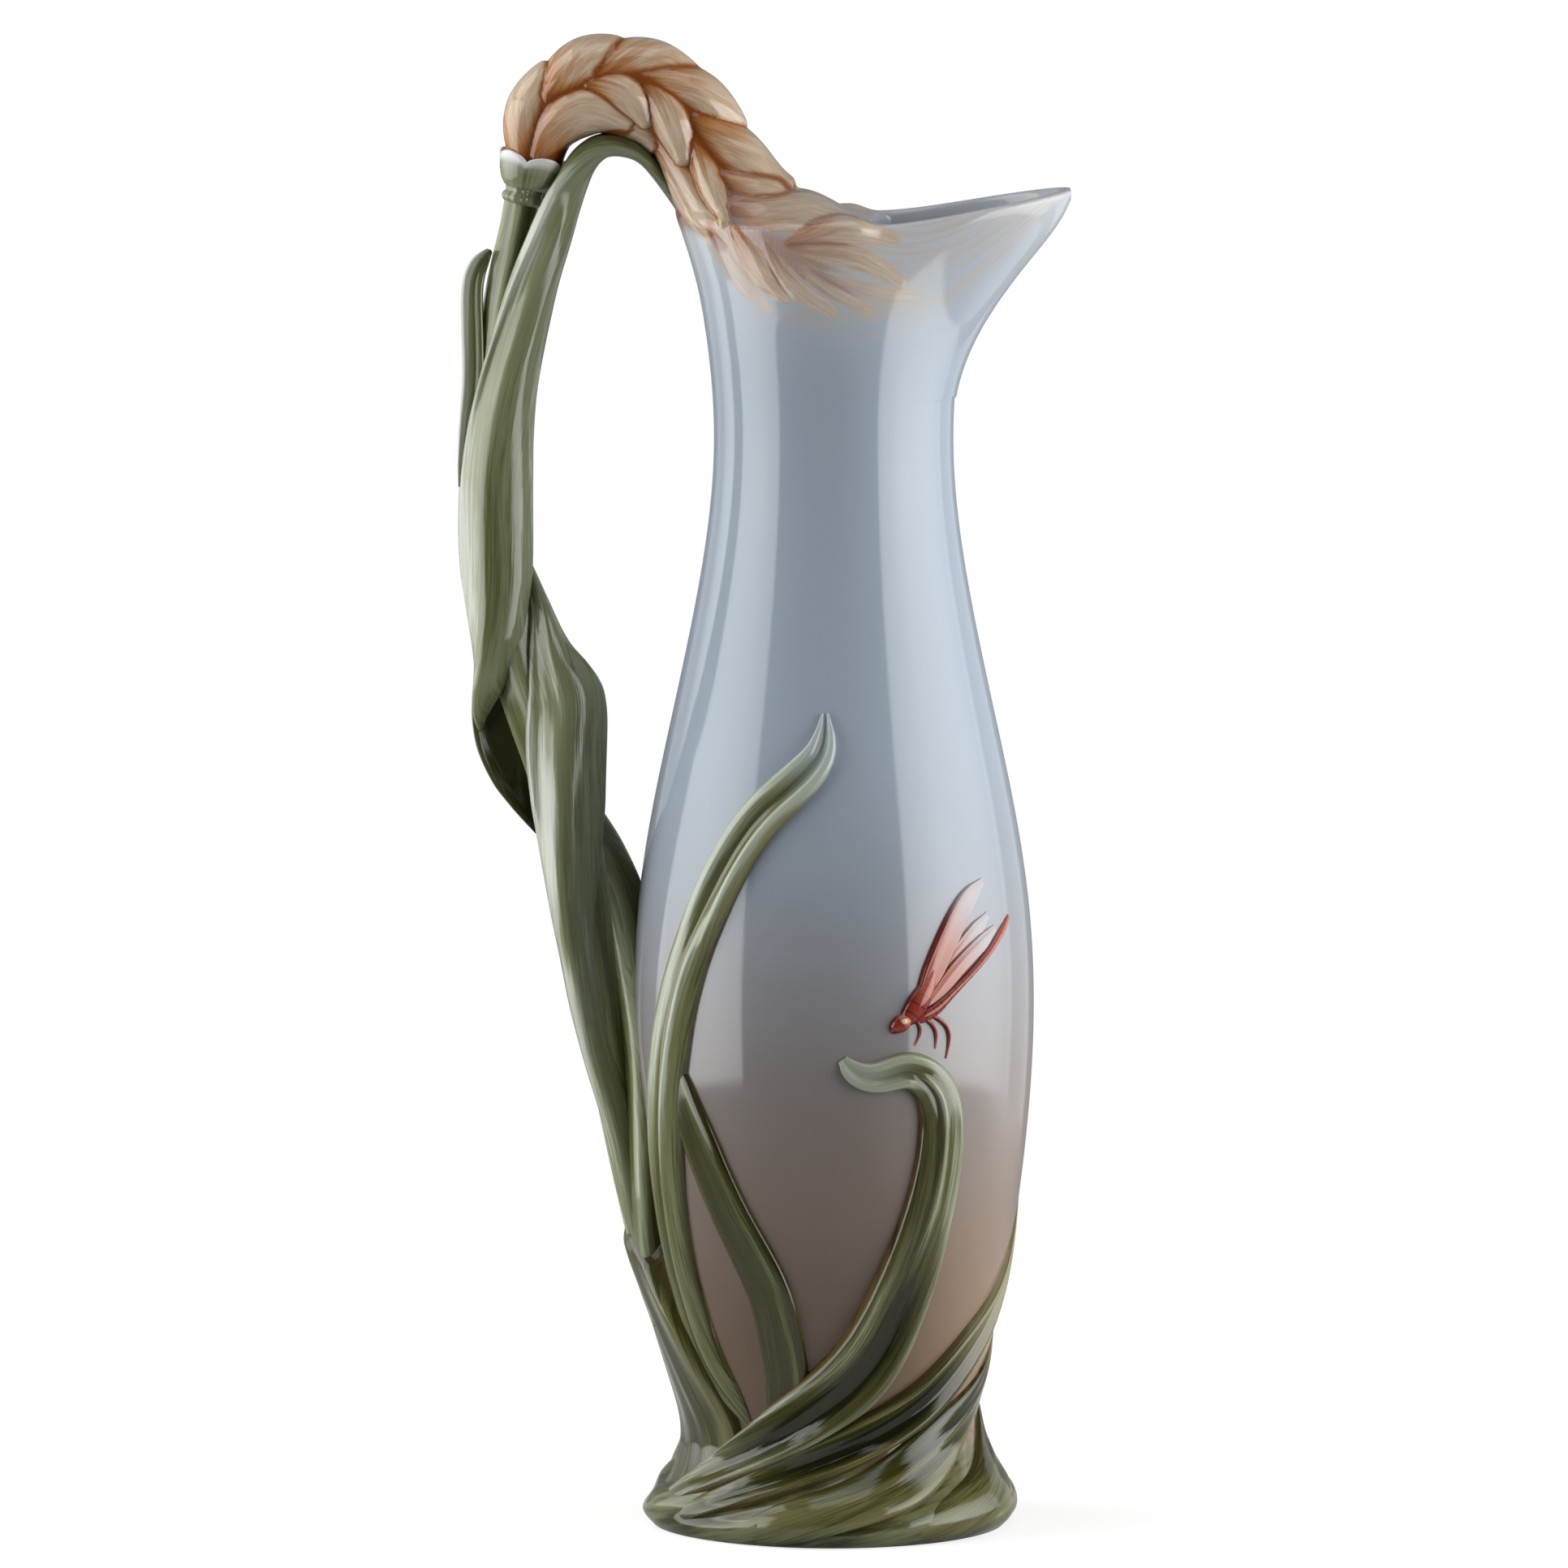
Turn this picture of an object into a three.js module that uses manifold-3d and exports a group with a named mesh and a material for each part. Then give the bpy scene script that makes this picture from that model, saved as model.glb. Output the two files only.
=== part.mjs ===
// A porcelain jug vase whose handle is a leafy stem that ends in an arching ear of grain.
// The vessel is slip-cast. The stem, leaves, grains and dragonfly are cast apart and luted on with slip.
// Millimetres, +Z up. Pieces are built round the vessel's own axis, with the handle towards -X, the spout
// towards +X and the front towards -Y. The finished group is set with its origin under the middle of its box.
import * as THREE from "three";
import { mergeVertices } from "three/addons/utils/BufferGeometryUtils.js";
import Module from "manifold-3d";

const wasm = await Module();
wasm.setup();

// Joints
const luteGap = 0.3; // slip joint between two pieces
const slipBed = 0.5; // bed of slip under a piece in relief
const seamTolerance = 0.1; // how far a cut edge may be evened out

// Vessel
const footRadius = 55.5; // widest part of the rounded foot
const footBulgeHeight = 6; // height of that widest part
const footRingRadius = 49; // outer edge of the flat ring that the vase stands on
const footRingWidth = 9;
const footRecess = 3; // hollow inside the foot ring
const waistRadius = 43.5;
const waistHeight = 29;
const flankRadius = 54.3;
const flankHeight = 82;
const bellyRadius = 61;
const bellyHeight = 161;
const neckRadius = 36.4;
const neckHeight = 332;
const rimRadius = 39.5; // rim at the two sides of the mouth
const rimHeight = 399;
const rimHandleRadius = 45; // rim below the ear
const spoutReach = 69; // spout's tip from the axis
const spoutHeight = 408;
const spoutSharpness = 8; // larger is a narrower spout
const wall = 4.5;
const lipRise = 1.6; // rounding of the rim
const floorThickness = 9;
const vesselSides = 28;

// Handle stem, by distance from the vessel's axis
const calyxReach = 92;
const calyxRise = 18; // ear's base above the rim
const bowReach = 102.4; // where the handle stands furthest out
const bowHeight = 335;
const elbowReach = 89;
const elbowHeight = 245;
const landingHeight = 139; // where the stem comes to the belly
const landingStandoff = 6; // stem's axis outside the vessel's surface there
const sheathTop = 84; // where the stem goes into its sheath
const stemRadius = 5.9; // under the ear
const stemLowRadius = 8.6;
const stemNodeRadius = 7;
const stemNodeHeight = 4;

// Ear of grain
const earRise = 41; // ear's axis above the rim, at the top of its arch
const earTopReach = 65.5;
const earBaseRadius = 7.6; // in the calyx
const earRadius = 12.4; // in the arch
const earRootRadius = 24; // where it spreads over the rim
const earRootDepth = 36;
const earRootReach = 8;
const earRootDrop = 16; // end of the ear's axis below the rim
const calyxDepth = 11;
const calyxLip = 3;
const calyxScallop = 2.1; // depth of the notches in its lip
const calyxWall = 1.4;
const calyxLobes = 5;
const outerGrains = 6; // in each row on the outside of the arch
const innerGrains = 5; // in each row on its inside
const grainLength = 24;
const grainHalfWidth = 5.6;
const grainHeight = 3.5;

// Leaves
const leafHalfThickness = 1.8;
const bladeEdge = 0.7; // thickness left at a blade's edge
const sheathHalfWidth = 17;
const sheathRise = 10.4;
const tallBladeTop = 253;
const tallBladeHalfWidth = 7;
const tallBladeRise = 4.4;
const crossBladeTop = 134;
const crossBladeHalfWidth = 7.4;
const crossBladeRise = 2.4;
const curledBladeTop = 151;
const curledBladeHalfWidth = 10.6;
const curledBladeRise = 5;
const wrappingBladeTop = 97;
const wrappingBladeHalfWidth = 7.2;
const wrappingBladeRise = 3.6;
const rearBladeTop = 208;
const rearBladeHalfWidth = 8;
const rearBladeRise = 3.4;
const rearCrossBladeTop = 122;
const footLeafCount = 5;
const footLeafFirst = -14; // bearing of the first foot leaf's root
const footLeafPitch = 58; // degrees from one foot leaf to the next
const footLeafTurn = 105; // degrees that a foot leaf winds round the vase
const footLeafRoot = 8;
const footLeafTop = 56;
const footLeafHalfWidth = 6.4;
const footLeafRise = 2.8;

// Dragonfly
const dragonflyBearing = 29.6; // its thorax
const dragonflyStance = 18; // its thorax above the curled blade's top, on which it stands
const dragonflyLength = 57;
const abdomenHalfWidth = 1.5;
const abdomenRise = 2.4;
const thoraxHalfWidth = 3.6;
const thoraxRise = 3.4;
const headHalfWidth = 3.2;
const headRise = 3;
const wingHalfWidth = 4.4;
const wingRise = 1;
const legHalfWidth = 0.7;
const legRise = 1;

// Heights that follow from the rim
const calyxHeight = rimHeight + calyxRise;
const earTop = rimHeight + earRise;
const earRootHeight = rimHeight - earRootDrop;

// Height that follows from the curled blade
const dragonflyHeight = curledBladeTop + dragonflyStance;

const rad = THREE.MathUtils.degToRad;
const clamp = THREE.MathUtils.clamp;
const lerp = THREE.MathUtils.lerp;

// A smooth curve y(x) through points that never overshoots them. It can start and end level.
function monotone(points, levelStart = false, levelEnd = false) {
  const step = points.slice(1).map((p, i) => (p[1] - points[i][1]) / (p[0] - points[i][0]));
  const slope = points.map((_, i) => {
    if (i === 0) return levelStart ? 0 : step[0];
    if (i === points.length - 1) return levelEnd ? 0 : step[i - 1];
    const [before, after] = [step[i - 1], step[i]];
    return before * after <= 0 ? 0 : (2 * before * after) / (before + after);
  });
  return (x) => {
    const last = points.length - 2;
    const found = points.findIndex((p, i) => i > 0 && x <= p[0]) - 1;
    const i = found < 0 ? (x <= points[0][0] ? 0 : last) : found;
    const width = points[i + 1][0] - points[i][0];
    const t = clamp((x - points[i][0]) / width, 0, 1);
    const s = 1 - t;
    return (
      points[i][1] * s * s * (1 + 2 * t) +
      points[i + 1][1] * t * t * (1 + 2 * s) +
      width * t * s * (slope[i] * s - slope[i + 1] * t)
    );
  };
}

// One value of a list of stations as a smooth function of a share from 0 to 1.
const along = (stations, key) =>
  monotone(stations.map((station, i) => [i / (stations.length - 1), station[key]]));

// A closed skin through rings of equally many points, with a fan over each end.
function loft(rings) {
  const count = rings[0].length;
  const points = rings.flat();
  const index = [];
  for (let i = 0; i + 1 < rings.length; i++) {
    for (let k = 0; k < count; k++) {
      const [a, b] = [i * count + k, i * count + ((k + 1) % count)];
      index.push(a, b, a + count, b, b + count, a + count);
    }
  }
  for (const [ring, start] of [[rings[0], 0], [rings.at(-1), (rings.length - 1) * count]]) {
    const middle = points.length;
    points.push(ring.reduce((sum, p) => sum.add(p), new THREE.Vector3()).divideScalar(count));
    for (let k = 0; k < count; k++) {
      const [a, b] = [start + k, start + ((k + 1) % count)];
      index.push(middle, start ? a : b, start ? b : a);
    }
  }
  const geometry = new THREE.BufferGeometry().setFromPoints(points).setIndex(index);
  return volumeOf(geometry) < 0 ? turnedInsideOut(geometry) : geometry;
}

function volumeOf(geometry) {
  const at = geometry.getAttribute("position");
  const corner = (k) => new THREE.Vector3().fromBufferAttribute(at, geometry.index.getX(k));
  let sum = 0;
  for (let k = 0; k < geometry.index.count; k += 3) {
    sum += corner(k).dot(corner(k + 1).cross(corner(k + 2))) / 6;
  }
  return sum;
}

function turnedInsideOut(geometry) {
  const index = [...geometry.index.array];
  for (let k = 0; k < index.length; k += 3) [index[k], index[k + 1]] = [index[k + 1], index[k]];
  return geometry.setIndex(index);
}

// Joining and cutting
function solidOf(geometry) {
  const bare = new THREE.BufferGeometry();
  bare.setAttribute("position", geometry.getAttribute("position"));
  bare.setIndex(geometry.index);
  const merged = mergeVertices(bare, 1e-4);
  return new wasm.Manifold(
    new wasm.Mesh({
      numProp: 3,
      vertProperties: new Float32Array(merged.getAttribute("position").array),
      triVerts: new Uint32Array(merged.index.array),
    }),
  );
}

function geometryOf(solid) {
  const mesh = solid.getMesh();
  const geometry = new THREE.BufferGeometry();
  geometry.setAttribute("position", new THREE.BufferAttribute(mesh.vertProperties, 3));
  return geometry.setIndex(new THREE.BufferAttribute(mesh.triVerts, 1));
}

// A piece less its neighbours. Only its largest body is kept, as chips would be swept off the clay.
function trimmed(geometry, neighbours) {
  let solid = solidOf(geometry);
  const box = new THREE.Box3().setFromBufferAttribute(geometry.getAttribute("position"));
  for (const neighbour of neighbours) {
    const other = new THREE.Box3().setFromBufferAttribute(neighbour.getAttribute("position"));
    if (box.intersectsBox(other)) solid = solid.subtract(solidOf(neighbour));
  }
  const bodies = solid.simplify(seamTolerance).decompose();
  return geometryOf(bodies.reduce((most, body) => (body.volume() > most.volume() ? body : most)));
}

// Vessel: its outside as a function of the bearing (degrees from the front, towards the spout) and of the
// height up its outline, which the rim stretches above the neck.
const bodyOutline = [
  [footBulgeHeight, footRadius],
  [waistHeight, waistRadius],
  [flankHeight, flankRadius],
  [bellyHeight, bellyRadius],
  [neckHeight, neckRadius],
];
const bodyRadius = monotone(bodyOutline, true, true);
const collarFlare = monotone([[0, 0], [0.3, 0.09], [0.5, 0.29], [0.75, 0.69], [1, 1]], true);

function outlineRadius(height) {
  if (height >= footBulgeHeight) return bodyRadius(height);
  const drop = 1 - height / footBulgeHeight;
  return lerp(footRingRadius, footRadius, Math.sqrt(1 - drop * drop));
}

function vesselPoint(bearing, height, offset = 0) {
  const toSpout = Math.sin(rad(bearing));
  const spout = ((1 + toSpout) / 2) ** spoutSharpness;
  const handle = ((1 - toSpout) / 2) ** 2;
  const collar = Math.max(0, (height - neckHeight) / (rimHeight - neckHeight));
  const reach = rimRadius + (spoutReach - rimRadius) * spout + (rimHandleRadius - rimRadius) * handle;
  const top = lerp(rimHeight, spoutHeight, spout);
  const radius =
    collar > 0 ? lerp(neckRadius, reach, collarFlare(collar)) : outlineRadius(Math.max(height, 0));
  const z = collar > 0 ? lerp(neckHeight, top, collar) : height;
  const r = radius + offset;
  return new THREE.Vector3(r * toSpout, -r * Math.cos(rad(bearing)), z);
}

const bearings = Array.from({ length: vesselSides }, (_, k) => (360 * k) / vesselSides);
const vesselRing = (height, offset = 0, rise = 0) =>
  bearings.map((bearing) => vesselPoint(bearing, height, offset).setZ(
    vesselPoint(bearing, height).z + rise));

// Rows of the outline, close together where it curves in and out at the foot.
const rowsBetween = (low, high, count) =>
  Array.from({ length: count }, (_, i) => lerp(low, high, (i + 1) / count));
const footRows = [0.2, 0.6, 1].map((share) => share * footBulgeHeight);
const lowRows = [
  ...rowsBetween(footBulgeHeight, waistHeight, 8),
  ...rowsBetween(waistHeight, flankHeight, 7),
];
const highRows = [
  ...rowsBetween(flankHeight, bellyHeight, 4),
  ...rowsBetween(bellyHeight, neckHeight, 7),
  ...rowsBetween(neckHeight, rimHeight, 6),
];
const insideRows = [
  ...rowsBetween(floorThickness + wall, waistHeight, 1),
  ...rowsBetween(waistHeight, bellyHeight, 3),
  ...rowsBetween(bellyHeight, neckHeight, 4),
  ...rowsBetween(neckHeight, rimHeight, 3),
];

function vesselBody() {
  return loft([
    bearings.map((b) => vesselPoint(b, 0, -footRingWidth).setZ(footRecess)),
    vesselRing(0, -footRingWidth),
    vesselRing(0),
    ...[...footRows, ...lowRows, ...highRows].map((height) => vesselRing(height)),
    vesselRing(rimHeight, -wall / 2, lipRise),
    ...insideRows.toReversed().map((height) => vesselRing(height, -wall)),
    bearings.map((b) => vesselPoint(b, waistHeight, -wall).setZ(floorThickness + wall)),
    bearings.map((b) => vesselPoint(b, waistHeight, -2 * wall).setZ(floorThickness)),
  ]);
}

// The vessel's outside as a filled body, grown by a joint's gap, for cutting what is luted to it.
function vesselPlug(grow) {
  return loft([
    vesselRing(0, grow, -grow),
    ...[...footRows, ...lowRows, ...highRows].map((height) => vesselRing(height, grow)),
    vesselRing(rimHeight, -wall / 2, lipRise + grow),
  ]);
}

// Ear: a tube with an oval section, from the calyx over the arch to the rim. Its axis lies in the plane y = 0.
const beforeTop = (out, up) => ({
  reach: lerp(calyxReach, earTopReach, out),
  height: lerp(calyxHeight, earTop, up),
});
const afterTop = (out, down) => ({
  reach: lerp(earTopReach, earRootReach, out),
  height: lerp(earTop, earRootHeight, down),
});
const swell = (share) => lerp(earBaseRadius, earRadius, share);
const spread = (share) => ({
  thick: lerp(earRadius, earRootRadius, share),
  deep: lerp(earRadius, earRootDepth, share),
});
const earStations = [
  { ...beforeTop(0, 0), thick: swell(0), deep: swell(0) },
  { ...beforeTop(0.13, 0.48), thick: swell(0.25), deep: swell(0.2) },
  { ...beforeTop(0.43, 0.84), thick: swell(0.75), deep: swell(0.75) },
  { ...afterTop(0, 0), thick: swell(1), deep: swell(0.9) },
  { ...afterTop(0.28, 0.114), ...spread(0) },
  { ...afterTop(0.46, 0.36), ...spread(0.06) },
  { ...afterTop(0.61, 0.63), ...spread(0.34) },
  { ...afterTop(0.79, 0.84), ...spread(0.75) },
  { ...afterTop(1, 1), ...spread(1) },
];
const earAxis = new THREE.CatmullRomCurve3(
  earStations.map((s) => new THREE.Vector3(-s.reach, 0, s.height)),
);
const earThick = along(earStations, "thick");
const earDeep = along(earStations, "deep");

// A point of the ear by its share of the way from the calyx, and its angle from the front over the outside.
function earPoint(angle, share, offset = 0) {
  const t = clamp(share, 0, 1);
  const way = earAxis.getTangent(t);
  const out = new THREE.Vector3(-way.z, 0, way.x);
  return earAxis
    .getPoint(t)
    .addScaledVector(way, earLength * (share - t))
    .addScaledVector(out, (earThick(t) + offset) * Math.sin(rad(angle)))
    .add(new THREE.Vector3(0, -(earDeep(t) + offset) * Math.cos(rad(angle)), 0));
}
const earLength = earAxis.getLength();
const earSides = 16;
const earSteps = 20;

function earCore(grow) {
  const angles = Array.from({ length: earSides }, (_, k) => (360 * k) / earSides);
  return loft(
    Array.from({ length: earSteps + 1 }, (_, i) =>
      angles.map((angle) => earPoint(angle, i / earSteps, grow)),
    ),
  );
}

// Shares along a line on a carrier between which it goes equally far, as the carrier counts its steps.
function evenShares(carrier, a, b, fineness) {
  const fine = 240;
  const gone = [0];
  for (let i = 1; i <= fine; i++) {
    const [from, to] = [(i - 1) / fine, i / fine];
    const stride = carrier.steps(a(to) - a(from), b(to) - b(from), b(to));
    gone.push(gone[i - 1] + stride * fineness);
  }
  const steps = Math.ceil(gone[fine]);
  const reached = (k) => gone.findIndex((far) => far >= (gone[fine] * k) / steps - 1e-9) / fine;
  return Array.from({ length: steps + 1 }, (_, k) => (k === steps ? 1 : reached(k)));
}

// Relief on a carrier: a closed strip that lies on a surface point(a, b) and follows a line of stations.
// Its underside lies on a bed of slip, and its crown rises in the middle.
function relief(carrier, stations, options = {}) {
  const { grow = 0, sides = 8, edge = bladeEdge, groove = 0, fineness = 1 } = options;
  const a = along(stations, "a");
  const b = along(stations, "b");
  const halfWidth = along(stations, "halfWidth");
  const height = along(stations, "height");
  const nudge = 1e-3;
  const middle = (t) => [a(clamp(t, 0, 1)), b(clamp(t, 0, 1))];
  const topSides = sides / 2;
  const shares = evenShares(carrier, a, b, fineness);
  const steps = shares.length - 1;

  return loft(
    shares.map((t, i) => {
      const end = i === 0 ? -grow : i === steps ? grow : 0;
      let [a0, b0] = middle(t);
      const base = carrier.point(a0, b0);
      const perA = carrier.point(a0 + carrier.stepA, b0).distanceTo(base) / carrier.stepA;
      const perB = carrier.point(a0, b0 + carrier.stepB).distanceTo(base) / carrier.stepB;
      const [a1, b1] = middle(t - nudge);
      const [a2, b2] = middle(t + nudge);
      const way = new THREE.Vector2((a2 - a1) * perA, (b2 - b1) * perB).normalize();
      a0 += (way.x * end) / perA;
      b0 += (way.y * end) / perB;
      const at = (across, rise) => {
        const [u, v] = [a0 - (way.y * across) / perA, b0 + (way.x * across) / perB];
        return carrier.point(u, v, rise);
      };
      const half = halfWidth(t) + grow;
      const crown = height(t);
      const under = slipBed - grow;
      const over = slipBed + grow;
      const top = Array.from({ length: topSides + 1 }, (_, k) => {
        const across = -Math.cos((Math.PI * k) / topSides);
        const swell = Math.sqrt(1 - across * across) * (1 - groove * (1 - Math.abs(across)) ** 2);
        return at(half * across, over + edge + (crown - edge) * swell);
      });
      const bottom = Array.from({ length: topSides - 1 }, (_, k) =>
        at(half * (1 - (2 * (k + 1)) / topSides), under),
      );
      const [left, right] = [at(-half, under), at(half, under)];
      return [...top, right, ...bottom, left];
    }),
  );
}

const onVessel = {
  point: vesselPoint,
  stepA: 0.5,
  stepB: 0.5,
  steps: (turn, climb, height) =>
    Math.max(Math.abs(turn) / 8, Math.abs(climb) / (height < flankHeight / 2 ? 6 : 16)),
};
const onEar = {
  point: earPoint,
  stepA: 0.5,
  stepB: 0.004,
  steps: (turn, climb) => Math.hypot(turn / 18, (climb * earLength) / 8),
};

// A leaf that stands free: a lens-shaped section swept along stations. Its edges bend back by cup.
function ribbon(stations, options = {}) {
  const { grow = 0, steps = 16, sides = 10 } = options;
  const axis = new THREE.CatmullRomCurve3(stations.map((s) => new THREE.Vector3(...s.at)));
  const facing = new THREE.CatmullRomCurve3(stations.map((s) => new THREE.Vector3(...s.facing)));
  const halfWidth = along(stations, "halfWidth");
  const cup = along(stations, "cup");
  return loft(
    Array.from({ length: steps + 1 }, (_, i) => {
      const t = i / steps;
      const way = axis.getTangent(t);
      const across = new THREE.Vector3().crossVectors(way, facing.getPoint(t)).normalize();
      const out = new THREE.Vector3().crossVectors(across, way);
      const end = i === 0 ? -grow : i === steps ? grow : 0;
      const middle = axis.getPoint(t).addScaledVector(way, end);
      const thickness = Math.min(leafHalfThickness, halfWidth(t)) + grow;
      return Array.from({ length: sides }, (_, k) => {
        const [x, y] = [Math.cos((2 * Math.PI * k) / sides), Math.sin((2 * Math.PI * k) / sides)];
        return middle
          .clone()
          .addScaledVector(across, (halfWidth(t) + grow) * x)
          .addScaledVector(out, thickness * y - cup(t) * x * x);
      });
    }),
  );
}

// Handle stem
const stemReach = monotone([
  [sheathTop, bodyRadius(sheathTop) + 1.2],
  [landingHeight, bodyRadius(landingHeight) + landingStandoff],
  [elbowHeight, elbowReach],
  [bowHeight, bowReach],
  [calyxHeight, calyxReach],
]);
const stemThickness = monotone([
  [sheathTop, stemLowRadius],
  [elbowHeight, stemLowRadius],
  [calyxHeight, stemRadius],
]);
const stemPoint = (height, dx = 0, dy = 0) => [dx - stemReach(height), dy, height];
const earStart = earAxis.getPoint(0);
const earWay = earAxis.getTangent(0);

// Rings round the line from the stem into the ear, which starts at the ear's base.
function ringsOnEarLine(profile, sides, grow = 0) {
  const out = new THREE.Vector3(-earWay.z, 0, earWay.x);
  return profile.map(({ away, radius, scallop = 0 }) =>
    Array.from({ length: sides }, (_, k) => {
      const turn = (2 * Math.PI * k) / sides;
      const lobes = Math.abs(Math.cos((turn * calyxLobes) / 2));
      return earStart
        .clone()
        .addScaledVector(earWay, away + scallop * (lobes - 1))
        .addScaledVector(out, (radius + grow) * Math.sin(turn))
        .add(new THREE.Vector3(0, -(radius + grow) * Math.cos(turn), 0));
    }),
  );
}

const calyxBottom = -calyxDepth;
const nodeBottom = calyxBottom - luteGap - stemNodeHeight;

// The calyx is a cup. Grown for cutting, it is filled up to its lip.
function calyx(grow = 0) {
  const seat = earBaseRadius + luteGap;
  const outer = seat + calyxWall;
  const outside = [
    { away: calyxBottom - grow, radius: stemRadius },
    { away: calyxBottom * 0.75, radius: lerp(stemRadius, outer, 0.45) },
    { away: calyxBottom * 0.4, radius: lerp(stemRadius, outer, 0.85) },
    { away: 0, radius: outer },
    { away: calyxLip + grow, radius: outer + calyxWall / 2, scallop: calyxScallop },
  ];
  const inside = [
    { away: calyxLip, radius: seat + calyxWall / 2, scallop: calyxScallop },
    { away: -luteGap, radius: seat },
  ];
  return loft(ringsOnEarLine(grow ? outside : [...outside, ...inside], 20, grow));
}

function stemNode(grow = 0) {
  return loft(
    ringsOnEarLine(
      [
        { away: nodeBottom - grow, radius: stemRadius },
        { away: nodeBottom + stemNodeHeight * 0.3, radius: stemNodeRadius },
        { away: nodeBottom + stemNodeHeight * 0.7, radius: stemNodeRadius },
        { away: nodeBottom + stemNodeHeight + grow, radius: stemRadius },
      ],
      16,
      grow,
    ),
  );
}

const stemSteps = 20;
const stemSides = 12;

function handleStem(grow = 0) {
  const top = earStart.clone().addScaledVector(earWay, nodeBottom - luteGap);
  const heights = Array.from({ length: stemSteps }, (_, i) => lerp(sheathTop, top.z - 6, i / (stemSteps - 1)));
  const axis = new THREE.CatmullRomCurve3([
    ...heights.map((height) => new THREE.Vector3(...stemPoint(height))),
    top,
  ]);
  return loft(
    Array.from({ length: stemSteps + 1 }, (_, i) => {
      const t = i / stemSteps;
      const way = i === stemSteps ? earWay : axis.getTangent(t);
      const middle = axis.getPoint(t).addScaledVector(way, i === 0 ? -grow : 0);
      const out = new THREE.Vector3(-way.z, 0, way.x);
      const radius = stemThickness(middle.z) + grow;
      return Array.from({ length: stemSides }, (_, k) => {
        const turn = (2 * Math.PI * k) / stemSides;
        return middle
          .clone()
          .addScaledVector(out, radius * Math.sin(turn))
          .add(new THREE.Vector3(0, -radius * Math.cos(turn), 0));
      });
    }),
  );
}

// Leaves of the handle, by their offset from the stem's axis
const front = [0, -1, 0];
const leafStation = (share, dx, dy, halfWidth, cup, facing = front) => ({
  at: stemPoint(lerp(sheathTop, calyxHeight, share), dx, dy),
  halfWidth,
  cup,
  facing,
});
const underEar = (share, halfWidth) => ({
  at: earPoint(-90, share, leafHalfThickness + luteGap).toArray(),
  halfWidth,
  cup: 0,
  facing: earPoint(-90, share, 1).sub(earPoint(-90, share)).toArray(),
});

// The upper leaf comes from under the ear, lies over the stem and tapers across it to the left.
const upperLeaf = [
  underEar(0.62, 1.2),
  underEar(0.45, 4),
  underEar(0.3, 5),
  leafStation(0.964, 13, -3, 4.4, 1, [0.8, -0.6, 0]),
  leafStation(0.904, 9, -6, 6, 2, [0.4, -0.9, 0]),
  leafStation(0.835, 5.4, -8.2, 7.6, 3),
  leafStation(0.754, 1, -9.2, 9.8, 4.4),
  leafStation(0.667, -1.8, -9.6, 11.2, 5.4),
  leafStation(0.604, -4, -9.6, 10.4, 4.6, [-0.2, -1, 0]),
  leafStation(0.55, -9, -8.4, 7, 2, [-0.5, -0.9, 0]),
  leafStation(0.505, -13, -5, 3.4, 0.6, [-0.8, -0.6, 0]),
];
// The tail is the same leaf's end, rolled over behind the stem.
const leafTail = [
  leafStation(0.541, -9.5, 0, 2, 0, [-0.8, -0.5, 0]),
  leafStation(0.495, -11, 1, 6, -1, [-0.7, -0.6, 0]),
  leafStation(0.447, -11.5, 1, 6, -1, [-0.7, -0.6, 0]),
  leafStation(0.396, -9.4, 1, 3.6, 0, [-0.8, -0.5, 0]),
  leafStation(0.36, -8.4, 1, 1, 0, [-0.8, -0.5, 0]),
];
// The lower leaf starts where the upper one ends, flares to the right and runs down the stem to the sheath.
const lowerLeaf = [
  leafStation(0.601, 6.6, -9, 0.9, 0),
  leafStation(0.559, 8.6, -10, 6, 1),
  leafStation(0.502, 9, -10.8, 12.2, 3),
  leafStation(0.444, 5.4, -10.8, 12, 4),
  leafStation(0.366, 0.6, -10.6, 9.6, 4.4),
  leafStation(0.258, -3, -10, 6.8, 3),
  leafStation(0.162, -3.2, -9.6, 5.2, 2),
  leafStation(0.072, -2.6, -9.4, 4, 1.2),
  leafStation(0.012, -2.4, -9, 2, 0.4),
];
// A narrow leaf stands on the outside of the stem, below the ear.
const outerLeaf = [
  leafStation(0.91, -7.8, 0, 1.6, 0, [-1, 0, 0]),
  leafStation(0.871, -9, 0, 5, -1, [-1, 0, 0]),
  leafStation(0.805, -9.4, 0, 5.4, -1, [-1, 0, 0]),
  leafStation(0.751, -9.8, 0, 3.6, 0, [-1, 0, 0]),
  leafStation(0.703, -9.9, 0, 1.2, 0, [-1, 0, 0]),
];
// A spur leaves the stem at the elbow and carries it on the belly.
const spur = [
  leafStation(0.462, 7, 3, 3, 0, [0.8, -0.6, 0]),
  leafStation(0.396, 11, 3, 5.6, 0, [0.8, -0.6, 0]),
  leafStation(0.327, 14, 2, 6.4, 0, [0.8, -0.6, 0]),
  leafStation(0.252, 12, 1, 6, 0, [0.8, -0.6, 0]),
  leafStation(0.198, 9, 0, 4, 0, [0.8, -0.6, 0]),
];

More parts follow.
